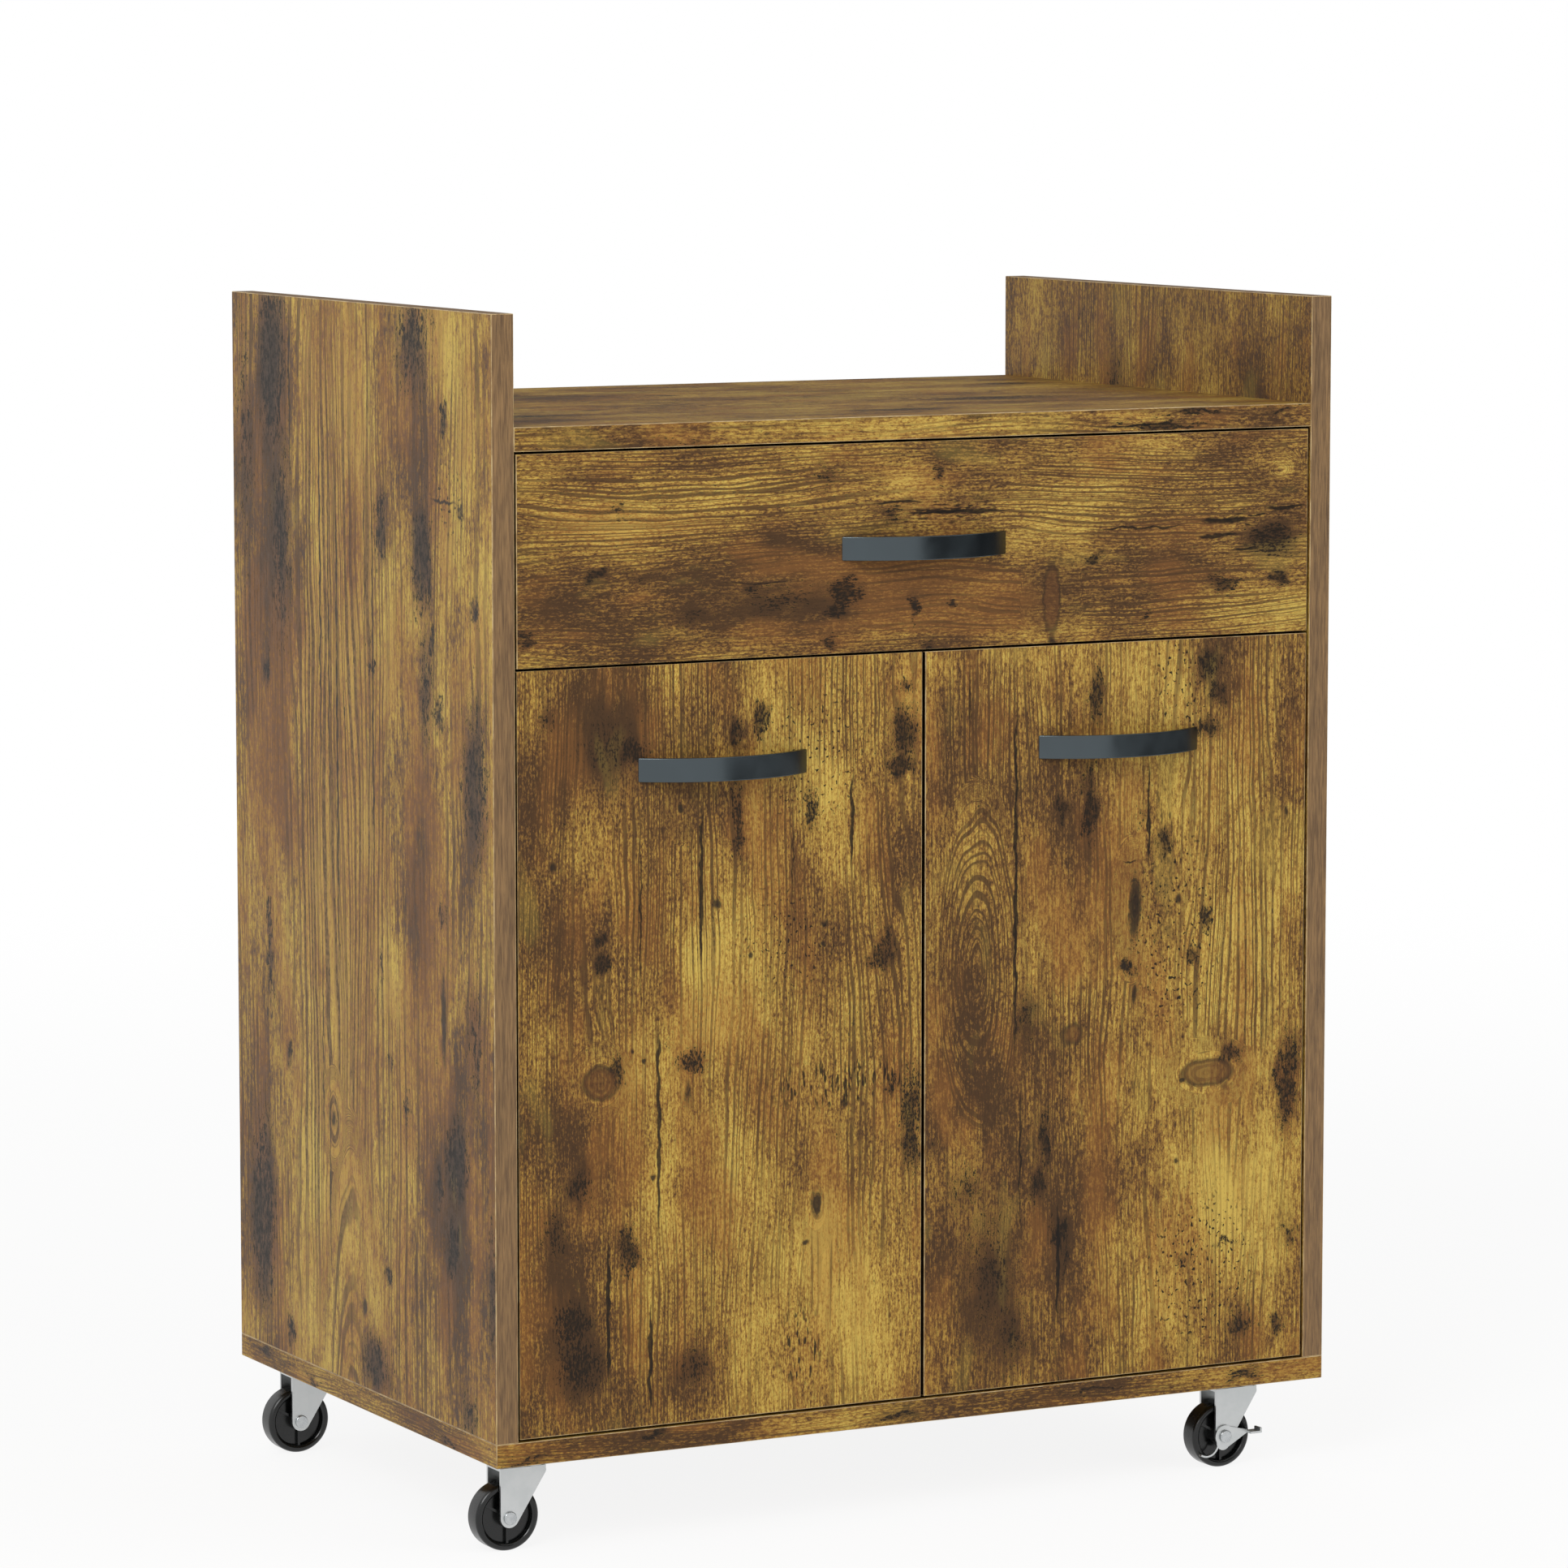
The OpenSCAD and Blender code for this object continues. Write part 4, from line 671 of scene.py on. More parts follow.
def hardboardMaterial(name):
    material, tree, shader = startMaterial(name)
    space = objectSpace(tree)
    wide, long = hardboard["fibre"]
    lying = streakNoise(tree, space, (long, wide, wide), seed=1, detail=3.0, roughness=0.7)
    standing = streakNoise(tree, space, (wide, wide, long), seed=2, detail=3.0, roughness=0.7)
    mottle = streakNoise(tree, space, (hardboard["mottle"],) * 3, seed=3, detail=4.0, roughness=0.6)
    mixed = addNode(tree, "ShaderNodeMath", {0: lying, 1: standing}, operation="MAXIMUM")
    mixed = addNode(tree, "ShaderNodeMath", {0: mixed, 1: mottle}, operation="ADD")
    color = twoTone(tree, hardboard, mixed)
    cloud = streakNoise(tree, space, (hardboard["cloud"],) * 3, seed=5, detail=3.0)
    flecks = streakNoise(tree, space, (hardboard["fleckWidth"],) * 3, seed=4, detail=1.0)
    levels = []
    for pattern, key in ((cloud, "shade"), (flecks, "fleckShow")):
        start, end, least, most = hardboard[key]
        settings = {"Value": pattern, "From Min": start, "From Max": end, "To Min": least, "To Max": most}
        levels.append(addNode(tree, "ShaderNodeMapRange", settings, interpolation_type="SMOOTHSTEP"))
    settings = {"Fac": 1.0, "Color1": color, "Color2": levels[0]}
    color = addNode(tree, "ShaderNodeMixRGB", settings, blend_type="MULTIPLY")
    settings = {"Fac": levels[1], "Color1": color, "Color2": hexColor(hardboard["fleck"])}
    color = addNode(tree, "ShaderNodeMixRGB", settings)
    dressShader(tree, shader, hardboard, color, relief=mixed)
    return material


# Powder coat: baked black paint on the handles, satin, with a faint orange peel. Its IOR is above that of
# a real paint, because the photograph's handles mirror the room more strongly.
powderCoat = {
    "dark": "#0a0d10", "light": "#0f1417", "spread": (0.4, 0.7),
    "patch": 22.0, "peel": 0.9,
    "shine": (0.3, 0.7, 0.2, 0.27), "relief": (0.012, 0.6),
    "shader": {"IOR": 2.15, "Specular Tint": hexColor("#c6d6dd")},
}
# Zinc plate on stamped steel: pale and cool, lightly clouded, with drawing marks from the press.
zincPlate = {
    "light": "#cdcfcf", "dark": "#c5c8c8", "spread": (0.35, 0.65),
    "cloud": 14.0, "draw": (0.25, 7.0), "drawShare": 0.5,
    "shine": (0.5, 1.0, 0.33, 0.4), "relief": (0.004, 0.6), "shader": {"Metallic": 1.0},
}
# Turned and ground steel: darker than zinc, brighter in its highlights.
plainSteel = {
    "light": "#c4c7c8", "dark": "#b0b3b5", "spread": (0.35, 0.65),
    "cloud": 4.0, "draw": (0.2, 3.0), "drawShare": 0.5,
    "shine": (0.5, 1.0, 0.2, 0.34), "relief": (0.004, 0.6), "shader": {"Metallic": 1.0},
}
# Polypropylene wheels: injection moulded, deep black, glossy, with a very fine mould grain.
wheelPlastic = {
    "dark": "#070808", "light": "#0f1010", "spread": (0.45, 0.75),
    "grain": 0.6, "flow": 9.0,
    "shine": (0.3, 0.7, 0.16, 0.3), "relief": (0.01, 0.5), "shader": {"IOR": 1.49},
}
# Nylon rollers and catch cases: milky, a little waxy.
nylonMoulded = {
    "light": "#ebe9e1", "dark": "#dad7cc", "spread": (0.35, 0.65), "grain": 5.0,
    "shine": (0.3, 0.7, 0.38, 0.5), "relief": (0.02, 0.4),
}
# Sintered ferrite: near black, matt, with a fine ground grain.
ferrite = {
    "light": "#46474a", "dark": "#2f3032", "spread": (0.35, 0.65), "grain": 0.5,
    "shine": (0.3, 0.7, 0.55, 0.75), "relief": (0.02, 0.4),
}


def powderCoatMaterial(name):
    material, tree, shader = startMaterial(name)
    space = objectSpace(tree)
    peel = streakNoise(tree, space, (powderCoat["peel"],) * 3, seed=1)
    patch = streakNoise(tree, space, (powderCoat["patch"],) * 3, seed=2)
    dressShader(tree, shader, powderCoat, twoTone(tree, powderCoat, patch), relief=peel, shine=patch)
    return material


def metalMaterial(name, finish):
    material, tree, shader = startMaterial(name)
    space = objectSpace(tree)
    cloud = streakNoise(tree, space, (finish["cloud"],) * 3, seed=1, detail=3.0, roughness=0.6)
    wide, long = finish["draw"]
    draw = streakNoise(tree, space, (long, long, wide), seed=2)
    mixed = weightedSum(tree, cloud, (draw, finish["drawShare"]))
    dressShader(tree, shader, finish, twoTone(tree, finish, cloud), relief=draw, shine=mixed)
    return material


def wheelMaterial(name):
    material, tree, shader = startMaterial(name)
    space = objectSpace(tree)
    grain = streakNoise(tree, space, (wheelPlastic["grain"],) * 3, seed=1)
    flow = streakNoise(tree, space, (wheelPlastic["flow"],) * 3, seed=2, detail=3.0)
    dressShader(tree, shader, wheelPlastic, twoTone(tree, wheelPlastic, flow), relief=grain, shine=flow)
    return material


def mouldedMaterial(name, finish):
    material, tree, shader = startMaterial(name)
    grain = streakNoise(tree, objectSpace(tree), (finish["grain"],) * 3, seed=1, detail=3.0)
    dressShader(tree, shader, finish, twoTone(tree, finish, grain), relief=grain, shine=grain)
    return material


edgeLineAndHighlightSkin = edgeLineAndHighlightMaterial("ScrapedEdgeAndPaintedHighlight")
darkBandAndGapShade = darkBandAndGapShadeMaterial("PvcEdgeBandDarkAndGapShade")
bandLeft = edgeBandMaterial("PvcEdgeBandLeft", "left_side_panel", 2)
bandRight = edgeBandMaterial("PvcEdgeBandRight", "right_side_panel", 5)
boardPrints = {  # what each board is called, faces and how its grain runs, its seed and its marks
    "left_side_panel": ("LaminateLeftPanel", "left", "down", 11, leftPanelMarks),
    "right_side_panel": ("LaminateRightPanel", "right", "down", 23, rightPanelMarks),
    "top_shelf": ("LaminateTopShelf", "top", "right", 31, topMarks),
    "bottom_board": ("LaminateBottomBoard", "top", "right", 37, topMarks),
    "drawer_front": ("LaminateDrawerFront", "front", "right", 43, drawerMarks),
    "left_door_panel": ("LaminateLeftDoor", "front", "down", 53, leftDoorMarks),
    "right_door_panel": ("LaminateRightDoor", "front", "down", 61, rightDoorMarks),
}
skins = {}
for node, (name, facing, grain, seed, marks) in boardPrints.items():
    skins[node] = laminateMaterial(name, node, facing, grain, seed, marks)
shelfEdge = laminateMaterial("LaminateShelfEdge", "top_shelf", "front", "right", 71, shelfEdgeMarks)
bottomEdge = laminateMaterial("LaminateBottomEdge", "bottom_board", "front", "right", 77, bottomEdgeMarks)
bottomSide = laminateMaterial("LaminateBottomSide", "bottom_board", "left", "right", 83, bottomSideMarks)
zincSkin = metalMaterial("ZincPlatedSteel", zincPlate)
steelSkin = metalMaterial("GroundSteel", plainSteel)
coatSkin = powderCoatMaterial("BlackPowderCoat")
wheelSkin = wheelMaterial("MouldedPolypropylene")
nylonSkin = mouldedMaterial("MouldedNylon", nylonMoulded)
ferriteSkin = mouldedMaterial("SinteredFerrite", ferrite)
hardboardSkin = hardboardMaterial("PressedHardboard")
innerSkins = {}
for seed, axis in enumerate("XYZ", innerBoard["seed"]):
    innerSkins[axis] = innerBoardMaterial("MelamineInner" + axis, axis, seed)
print("materials:", len(bpy.data.materials))

weld = {"reach": 0.002, "flatAngle": 0.5}  # mm and degrees within which points and faces are joined


def mergedMesh(node):
    # a copy of the node's loose triangles as one closed shell with flat faces joined
    shell = bmesh.new()
    shell.from_mesh(nodes[node].data)
    bmesh.ops.remove_doubles(shell, verts=shell.verts, dist=weld["reach"] * mm)
    flat = math.radians(weld["flatAngle"])
    bmesh.ops.dissolve_limit(shell, angle_limit=flat, verts=shell.verts, edges=shell.edges)
    return shell


def newPiece(name, shell, materials):
    mesh = bpy.data.meshes.new(name)
    shell.to_mesh(mesh)
    shell.free()
    if "custom_normal" in mesh.attributes:
        mesh.attributes.remove(mesh.attributes["custom_normal"])
    for material in materials:
        mesh.materials.append(material)
    piece = bpy.data.objects.new(name, mesh)
    bpy.context.scene.collection.objects.link(piece)
    return piece


def seat(piece, body, slot, *replaced):
    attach(piece, body)
    if replaced:
        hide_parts(*replaced)


# Boards: the same boards as in the frame, with their long edges eased and painted pale there, partly as the
# trimmed film and partly as a painted highlight
boardEdge = {"width": 0.45, "segments": 2, "slack": 0.02}  # mm
facingCosine = 0.99  # a face looks to a side when the cosine of the angle between them is above this
boardFaces = {  # skins for the faces that look to the front, back, up, down or left, where they differ
    "left_side_panel": {(0, -1, 0): bandLeft, (0, 1, 0): bandLeft, (0, 0, 1): bandLeft},
    "right_side_panel": {(0, -1, 0): bandRight, (0, 1, 0): bandRight, (0, 0, 1): bandRight},
    "top_shelf": {(0, -1, 0): shelfEdge},
    "bottom_board": {(0, -1, 0): bottomEdge, (-1, 0, 0): bottomSide, (1, 0, 0): bottomSide},
}
# the narrow sides get the dark band, which is partly PVC colour and partly painted shade for the gaps
for node in ("drawer_front", "left_door_panel", "right_door_panel"):
    boardFaces[node] = {side: darkBandAndGapShade for side in ((0, 0, 1), (0, 0, -1), (1, 0, 0), (-1, 0, 0))}


def onBox(point, low, high):
    # which sides of the box the point lies on
    slack = boardEdge["slack"] * mm
    ends = [(i, end, side[i]) for i in range(3) for end, side in enumerate((low, high))]
    return {(i, end) for i, end, place in ends if abs(point[i] - place) < slack}


def buildBoard(node):
    shell = mergedMesh(node)
    low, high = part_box(node)
    special = boardFaces.get(node, {})
    materials = [skins[node]] + list(dict.fromkeys(special.values())) + [edgeLineAndHighlightSkin]
    for face in shell.faces:
        sides = set.intersection(*(onBox(v.co, low, high) for v in face.verts))
        for side, skin in special.items():
            if sides and face.normal.dot(Vector(side)) > facingCosine:
                face.material_index = materials.index(skin)
    weight = shell.edges.layers.float.new("bevel_weight_edge")
    for edge in shell.edges:
        shared = onBox(edge.verts[0].co, low, high) & onBox(edge.verts[1].co, low, high)
        if len(shared) > 1:
            edge[weight] = 1.0
    piece = newPiece(node + "_eased", shell, materials)
    bevel = piece.modifiers.new("easedEdges", "BEVEL")
    bevel.limit_method = "WEIGHT"
    bevel.width = boardEdge["width"] * mm
    bevel.segments = boardEdge["segments"]
    # the eased faces take the pale edge line, partly trimmed film and partly painted highlight
    bevel.material = len(materials) - 1
    bevel.use_clamp_overlap = False
    seat(piece, bodyOf[node], slotOf[node], node)


for node in skins:
    buildBoard(node)
print("boards:", len(skins))


# Handles: flat bar bent to a bow, ends mitred to the front, with a boss behind each end for its screw
handle = {
    "thickness": 3.0, "pitch": 96.0, "bowSteps": 72,
    "edge": 0.6, "segments": 3, "sharpAngle": 40,  # degrees, above which an edge is rounded
    "bossRadius": 5.0, "bossSides": 40, "bossSink": 0.3,
}


def buildHandle(node):
    low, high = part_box(node)
    reach = high.y - low.y
    half = (high.x - low.x) / 2
    middle = (low + high) / 2
    outerRadius = (half ** 2 + reach ** 2) / (2 * reach)
    innerRadius = outerRadius - handle["thickness"] * mm
    centreY = low.y + outerRadius
    shell = bmesh.new()
    rows = []
    for step in range(handle["bowSteps"] + 1):
        share = 2 * step / handle["bowSteps"] - 1
        row = []
        for radius in (outerRadius, innerRadius):
            angle = share * math.acos((centreY - high.y) / radius)
            x = middle.x + radius * math.sin(angle)
            y = centreY - radius * math.cos(angle)
            row += [shell.verts.new((x, y, z)) for z in (low.z, high.z)]
        rows.append([row[0], row[1], row[3], row[2]])
    for a, b in zip(rows, rows[1:]):
        for i in range(4):
            shell.faces.new((a[i], b[i], b[(i + 1) % 4], a[(i + 1) % 4]))
    shell.faces.new(rows[0])
    shell.faces.new(rows[-1][::-1])
    bossRadius = handle["bossRadius"] * mm
    for side in (-1, 1):
        x = middle.x + side * handle["pitch"] / 2 * mm
        inner = centreY - math.sqrt(innerRadius ** 2 - (x - middle.x) ** 2) - handle["bossSink"] * mm
        lying = Matrix.Rotation(math.pi / 2, 4, "X")
        placed = Matrix.Translation((x, (inner + high.y) / 2, middle.z)) @ lying
        bmesh.ops.create_cone(shell, cap_ends=True, segments=handle["bossSides"], radius1=bossRadius,
                              radius2=bossRadius, depth=high.y - inner, matrix=placed)
    bmesh.ops.recalc_face_normals(shell, faces=shell.faces)
    for face in shell.faces:
        face.smooth = True
    piece = newPiece(node + "_bow", shell, [coatSkin])
    bevel = piece.modifiers.new("softEdges", "BEVEL")
    bevel.width = handle["edge"] * mm
    bevel.segments = handle["segments"]
    bevel.limit_method = "ANGLE"
    bevel.angle_limit = math.radians(handle["sharpAngle"])
    bevel.harden_normals = True
    seat(piece, bodyOf[node], slotOf[node], node)


handleNodes = ("drawer_handle", "left_door_handle", "right_door_handle")
for node in handleNodes:
    buildHandle(node)
print("handles:", len(handleNodes))


# Screws: a shank and a pan head with a cross recess, made once and set on every seat of a node.
# The shares are of the head's radius and, for the depth, of its height.
screw = {"headShare": 0.72, "recessWidth": 0.24, "recessReach": 0.62, "recessDepth": 0.55, "sides": 28}
levelSlack = 0.05  # mm by which the points of one ring may differ in height
screwNodes = {  # head height in mm
    "pan_head_screws": 1.8, "left_cup_screws": 1.8, "right_cup_screws": 1.8,
    "drawer_handle_screws": 2.5, "left_door_handle_screws": 2.5, "right_door_handle_screws": 2.5,
    "drawer_corner_screws": 2.0, "base_screws": 3.5,
}


def islands(node):
    # the separate solids of a node, each as a list of points
    shell = mergedMesh(node)
    waiting, found = set(shell.verts), []
    while waiting:
        group, edge = [], [waiting.pop()]
        while edge:
            vert = edge.pop()
            group.append(vert.co.copy())
            for link in vert.link_edges:
                other = link.other_vert(vert)
                if other in waiting:
                    waiting.remove(other)
                    edge.append(other)
        found.append(group)
    shell.free()
    return found


def screwSeats(node):
    # for each screw: the top of its head, the way the head looks, head radius, shank radius and whole length
    seats = []
    for points in islands(node):
        low = Vector([min(p[i] for p in points) for i in range(3)])
        high = Vector([max(p[i] for p in points) for i in range(3)])
        size = high - low
        axis = max(range(3), key=lambda i: size[i])
        middle = (low + high) / 2
        along = Vector([i == axis for i in range(3)])

        def radius(end):
            ring = [p for p in points if abs(p[axis] - end[axis]) < levelSlack * mm]
            return max((p - middle - (p[axis] - middle[axis]) * along).length for p in ring)

        headHigh = radius(high) > radius(low)
        top = middle.copy()
        top[axis] = (high if headHigh else low)[axis]
        facing = along if headHigh else -along
        shankRadius, headRadius = sorted((radius(high), radius(low)))
        seats.append((top, facing, headRadius, shankRadius, size[axis]))
    return seats


def screwTree():
    tree = bpy.data.node_groups.new("panHeadScrews", "GeometryNodeTree")
    sockets = {}
    tree.interface.new_socket("Geometry", in_out="INPUT", socket_type="NodeSocketGeometry")
    for name in ("Head Radius", "Head Height", "Shank Radius", "Length"):
        sockets[name] = tree.interface.new_socket(name, in_out="INPUT", socket_type="NodeSocketFloat")
    sockets["Finish"] = tree.interface.new_socket("Finish", in_out="INPUT", socket_type="NodeSocketMaterial")
    tree.interface.new_socket("Geometry", in_out="OUTPUT", socket_type="NodeSocketGeometry")
    given = addNode(tree, "NodeGroupInput").outputs

    def lifted(geometry, height):
        place = addNode(tree, "ShaderNodeCombineXYZ", {"Z": height})
        return addNode(tree, "GeometryNodeTransform", {"Geometry": geometry, "Translation": place})

    shares = {
        "top": ("Head Radius", screw["headShare"]),
        "drop": ("Head Height", -1.0),
        "reach": ("Head Radius", 2 * screw["recessReach"]),
        "width": ("Head Radius", screw["recessWidth"]),
        "depth": ("Head Height", 2 * screw["recessDepth"]),
    }
    size = {}
    for key, (name, share) in shares.items():
        size[key] = addNode(tree, "ShaderNodeMath", {0: given[name], 1: share}, operation="MULTIPLY")
    head = addNode(tree, "GeometryNodeMeshCone", {
        "Vertices": screw["sides"], "Radius Top": size["top"],
        "Radius Bottom": given["Head Radius"], "Depth": given["Head Height"]})
    settings = {"Mesh 1": lifted(head, size["drop"])}
    cut = addNode(tree, "GeometryNodeMeshBoolean", settings, operation="DIFFERENCE", solver="EXACT")
    for x, y in (("reach", "width"), ("width", "reach")):
        extent = addNode(tree, "ShaderNodeCombineXYZ", {"X": size[x], "Y": size[y], "Z": size["depth"]})
        bar = addNode(tree, "GeometryNodeMeshCube", {"Size": extent})
        tree.links.new(bar.outputs["Mesh"], cut.inputs["Mesh 2"])
    settings = {0: given["Length"], 1: given["Head Height"]}
    shankLength = addNode(tree, "ShaderNodeMath", settings, operation="SUBTRACT")
    shank = addNode(tree, "GeometryNodeMeshCylinder", {
        "Vertices": screw["sides"], "Radius": given["Shank Radius"], "Depth": shankLength})
    shank = lifted(shank, weightedSum(tree, size["drop"], (shankLength, -0.5)))
    whole = addNode(tree, "GeometryNodeJoinGeometry")
    for part in (cut, shank):
        tree.links.new(part.outputs[0], whole.inputs[0])
    facing = addNode(tree, "GeometryNodeInputNamedAttribute", {"Name": "facing"}, data_type="FLOAT_VECTOR")
    turn = addNode(tree, "FunctionNodeAlignRotationToVector", {"Vector": facing}, axis="Z")
    settings = {"Points": given["Geometry"], "Instance": whole, "Rotation": turn}
    placed = addNode(tree, "GeometryNodeInstanceOnPoints", settings)
    real = addNode(tree, "GeometryNodeRealizeInstances", {"Geometry": placed})
    dressed = addNode(tree, "GeometryNodeSetMaterial", {"Geometry": real, "Material": given["Finish"]})
    addNode(tree, "NodeGroupOutput", {"Geometry": dressed})
    return tree, {name: socket.identifier for name, socket in sockets.items()}


def buildScrews(node, tree, names, headHeight, finish):
    places, directions, headRadii, shankRadii, lengths = zip(*screwSeats(node))
    mesh = bpy.data.meshes.new(node)
    mesh.from_pydata(places, [], [])
    facing = mesh.attributes.new("facing", "FLOAT_VECTOR", "POINT")
    for row, direction in zip(facing.data, directions):
        row.vector = direction
    holder = bpy.data.objects.new(node + "_seats", mesh)
    bpy.context.scene.collection.objects.link(holder)
    modifier = holder.modifiers.new("screws", "NODES")
    modifier.node_group = tree
    sizes = {"Head Radius": headRadii[0], "Head Height": headHeight * mm, "Shank Radius": shankRadii[0],
             "Length": lengths[0], "Finish": finish}
    for name, value in sizes.items():
        modifier[names[name]] = value
    graph = bpy.context.evaluated_depsgraph_get()
    made = bpy.data.meshes.new_from_object(holder.evaluated_get(graph))
    bpy.data.objects.remove(holder)
    piece = bpy.data.objects.new(node + "_crosshead", made)
    bpy.context.scene.collection.objects.link(piece)
    seat(piece, bodyOf[node], slotOf[node], node)
    return len(places)


tree, inputNames = screwTree()
total = 0
for node, height in screwNodes.items():
    finish = steelSkin if slotOf[node] == "steel" else zincSkin
    total += buildScrews(node, tree, inputNames, height, finish)
print("screws:", total)


# Casters and fittings: the frame's solids with their sharp edges broken as a press or a mould leaves them
softNodes = {  # by the end of a node's name: edge radius in mm and its segments
    "fork": (0.35, 2), "wheel": (0.35, 2), "brake_lever": (0.25, 2), "axle": (0.45, 3),
    "caster_plates": (0.4, 2), "hinge_plates": (0.3, 2), "hinge_arms": (0.8, 3), "catch_cases": (0.4, 2),
    "runner": (0.2, 1), "strike_plate": (0.2, 1), "hinge_cups": (0.3, 2), "caster_kingpins": (0.4, 2),
    "roller": (0.4, 2),
}
slotSkins = {"zinc": zincSkin, "steel": steelSkin, "black_plastic": wheelSkin, "nylon": nylonSkin,
             "magnet": ferriteSkin, "hardboard": hardboardSkin, "black_metal": coatSkin}
softAngle = 35  # degrees, above which an edge is broken


def buildSoft(node, width, segments):
    shell = mergedMesh(node)
    for face in shell.faces:
        face.smooth = True
    piece = newPiece(node + "_softened", shell, [slotSkins[slotOf[node]]])
    bevel = piece.modifiers.new("brokenEdges", "BEVEL")
    bevel.width = width * mm
    bevel.segments = segments
    bevel.limit_method = "ANGLE"
    bevel.angle_limit = math.radians(softAngle)
    bevel.harden_normals = True
    seat(piece, bodyOf[node], slotOf[node], node)


for node in nodes:
    match = [key for key in softNodes if node.endswith(key)]
    if match:
        buildSoft(node, *softNodes[match[0]])
print("fittings softened")

# Nodes that stay as they are get their finish on their own material slots
boardAxes = {  # the axis along which the print runs
    "inner_shelf": "X", "front_rail": "X",
    "drawer_left_side": "Y", "drawer_right_side": "Y", "drawer_back": "X",
}
for name, node in nodes.items():
    skin = innerSkins[boardAxes[name]] if name in boardAxes else slotSkins.get(slotOf[name])
    if skin and not node.hide_render:
        node.data.materials.clear()
        node.data.materials.append(skin)
print("plain nodes dressed")


# Studio: a pale floor that runs into a white room, lit softly from above and the left.
# The flags are curved grey screens that only mirror rays see, which keep the gloss on the cart dark.
studio = {
    "floorHalf": 14.0, "floorColor": "#f4f4f3", "floorRoughness": 0.8,
    "floorGlow": (0.9, 3.0, 0.88, 1.0),  # distance from and to, share of plain white from and to
    "worldLevel": 0.62, "white": "#ffffff", "screenRoughness": 0.9,
    "key": {"place": (-2.7, -2.3, 2.7), "size": 1.7, "power": 76.0},
    "fill": {"place": (2.1, -2.8, 1.6), "size": 2.2, "power": 34.0},
    "flags": [
        {"name": "right_screen", "azimuth": (13, 70), "steps": 20, "color": "#0b0c0d"},
        {"name": "side_screen", "azimuth": (70, 110), "steps": 16, "color": "#3c3e3f"},
        {"name": "back_screen", "azimuth": (110, 180), "steps": 24, "color": "#5c5c5b"},
    ],
    "flagRadius": 3.0, "flagHeight": 2.4,
}
cartMiddle = (cadLow + cadHigh) / 2


def rayShare(tree):
    # 1 for camera, mirror and glass rays, which see the room as plain white
    rays = addNode(tree, "ShaderNodeLightPath").outputs
    share = rays["Is Camera Ray"]
    for name in ("Is Glossy Ray", "Is Transmission Ray"):
        share = addNode(tree, "ShaderNodeMath", {0: share, 1: rays[name]}, operation="MAXIMUM")
    return share


def buildFloor():
    shell = bmesh.new()
    half = studio["floorHalf"]
    corners = [shell.verts.new((x * half, y * half, 0)) for x, y in ((-1, -1), (1, -1), (1, 1), (-1, 1))]
    shell.faces.new(corners)
    material, tree, shader = startMaterial("StudioFloor")
    shader.inputs["Base Color"].default_value = hexColor(studio["floorColor"])
    shader.inputs["Roughness"].default_value = studio["floorRoughness"]
    shader.inputs["Specular IOR Level"].default_value = 0.0
    glow = addNode(tree, "ShaderNodeEmission", {"Color": hexColor(studio["white"]), "Strength": 1.0})
    coords = addNode(tree, "ShaderNodeTexCoord").outputs["Object"]
    distance = addNode(tree, "ShaderNodeVectorMath", {0: coords}, operation="LENGTH").outputs["Value"]
    start, end, near, far = studio["floorGlow"]
    settings = {"Value": distance, "From Min": start, "From Max": end, "To Min": near, "To Max": far}
    level = addNode(tree, "ShaderNodeMapRange", settings, interpolation_type="SMOOTHSTEP")
    share = addNode(tree, "ShaderNodeMath", {0: rayShare(tree), 1: level}, operation="MULTIPLY")
    mixed = addNode(tree, "ShaderNodeMixShader", {0: share, 1: shader, 2: glow})
    tree.links.new(mixed.outputs[0], tree.nodes["Material Output"].inputs["Surface"])
    newPiece("studio_floor", shell, [material])


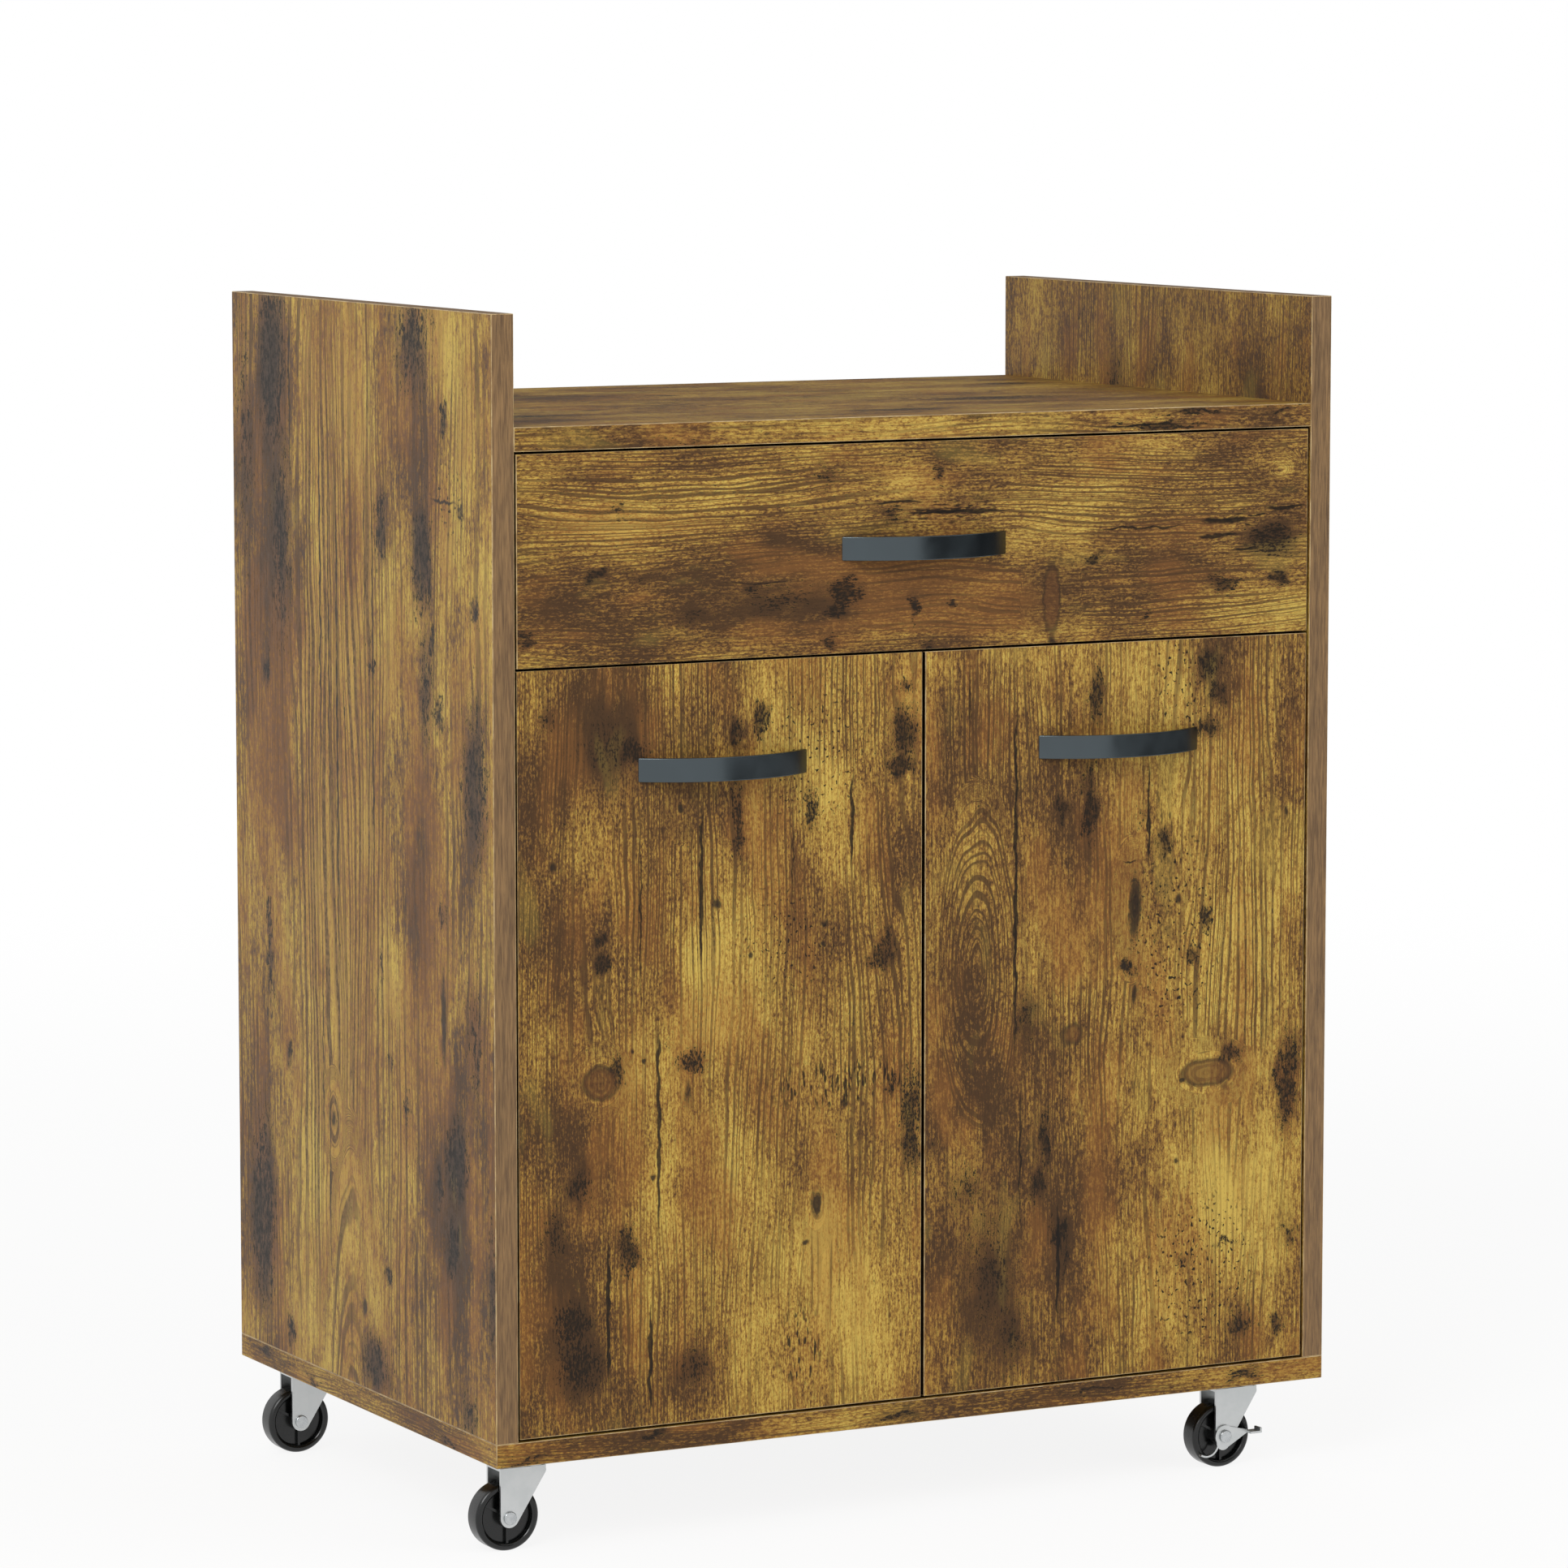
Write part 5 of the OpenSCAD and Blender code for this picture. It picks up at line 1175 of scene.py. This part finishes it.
def buildFlag(name, azimuth, steps, color):
    shell = bmesh.new()
    start, end = (math.radians(a) for a in azimuth)
    rows = []
    for step in range(steps + 1):
        turn = start + (end - start) * step / steps
        x = studio["flagRadius"] * math.sin(turn)
        y = -studio["flagRadius"] * math.cos(turn)
        rows.append([shell.verts.new((x, y, z)) for z in (0, studio["flagHeight"])])
    for a, b in zip(rows, rows[1:]):
        shell.faces.new((a[0], b[0], b[1], a[1]))
    material, _, shader = startMaterial("GreyScreen")
    shader.inputs["Base Color"].default_value = hexColor(color)
    shader.inputs["Roughness"].default_value = studio["screenRoughness"]
    flag = newPiece(name, shell, [material])
    for kind in ("camera", "diffuse", "transmission", "volume_scatter", "shadow"):
        setattr(flag, "visible_" + kind, False)


def buildWorld():
    world = bpy.data.worlds.new("StudioRoom")
    bpy.context.scene.world = world
    world.use_nodes = True
    tree = world.node_tree
    tree.nodes.clear()
    white = hexColor(studio["white"])
    lit = addNode(tree, "ShaderNodeBackground", {"Color": white, "Strength": studio["worldLevel"]})
    seen = addNode(tree, "ShaderNodeBackground", {"Color": white, "Strength": 1.0})
    mixed = addNode(tree, "ShaderNodeMixShader", {0: rayShare(tree), 1: lit, 2: seen})
    addNode(tree, "ShaderNodeOutputWorld", {"Surface": mixed})


def buildLamp(name, place, size, power):
    lamp = bpy.data.lights.new(name, "AREA")
    lamp.size = size
    lamp.energy = power
    holder = bpy.data.objects.new(name, lamp)
    holder.location = place
    holder.rotation_euler = (Vector(place) - cartMiddle).to_track_quat("Z", "Y").to_euler()
    bpy.context.scene.collection.objects.link(holder)


buildFloor()
buildWorld()
for values in studio["flags"]:
    buildFlag(**values)
buildLamp("KeySoftbox", **studio["key"])
buildLamp("FillSoftbox", **studio["fill"])
print("studio: floor, room, screens and 2 softboxes")

# Camera: stands to the left of the cart, a little above it, and looks slightly down
camera = {
    "place": (-1.9968, -3.7985, 0.9399), "yaw": 27.729, "pitch": -6.511,  # degrees
    "lens": 151.15, "sensor": 36.0,  # mm
    "clipEnd": 60,
}


def buildCamera():
    data = bpy.data.cameras.new("PhotoCamera")
    data.lens = camera["lens"]
    data.sensor_width = camera["sensor"]
    data.clip_end = camera["clipEnd"]
    holder = bpy.data.objects.new("PhotoCamera", data)
    holder.location = camera["place"]
    holder.rotation_euler = (math.radians(90 + camera["pitch"]), 0, -math.radians(camera["yaw"]))
    bpy.context.scene.collection.objects.link(holder)
    bpy.context.scene.camera = holder


buildCamera()
bpy.context.scene.view_settings.view_transform = "Standard"
print("camera placed")

bpy.context.view_layer.update()
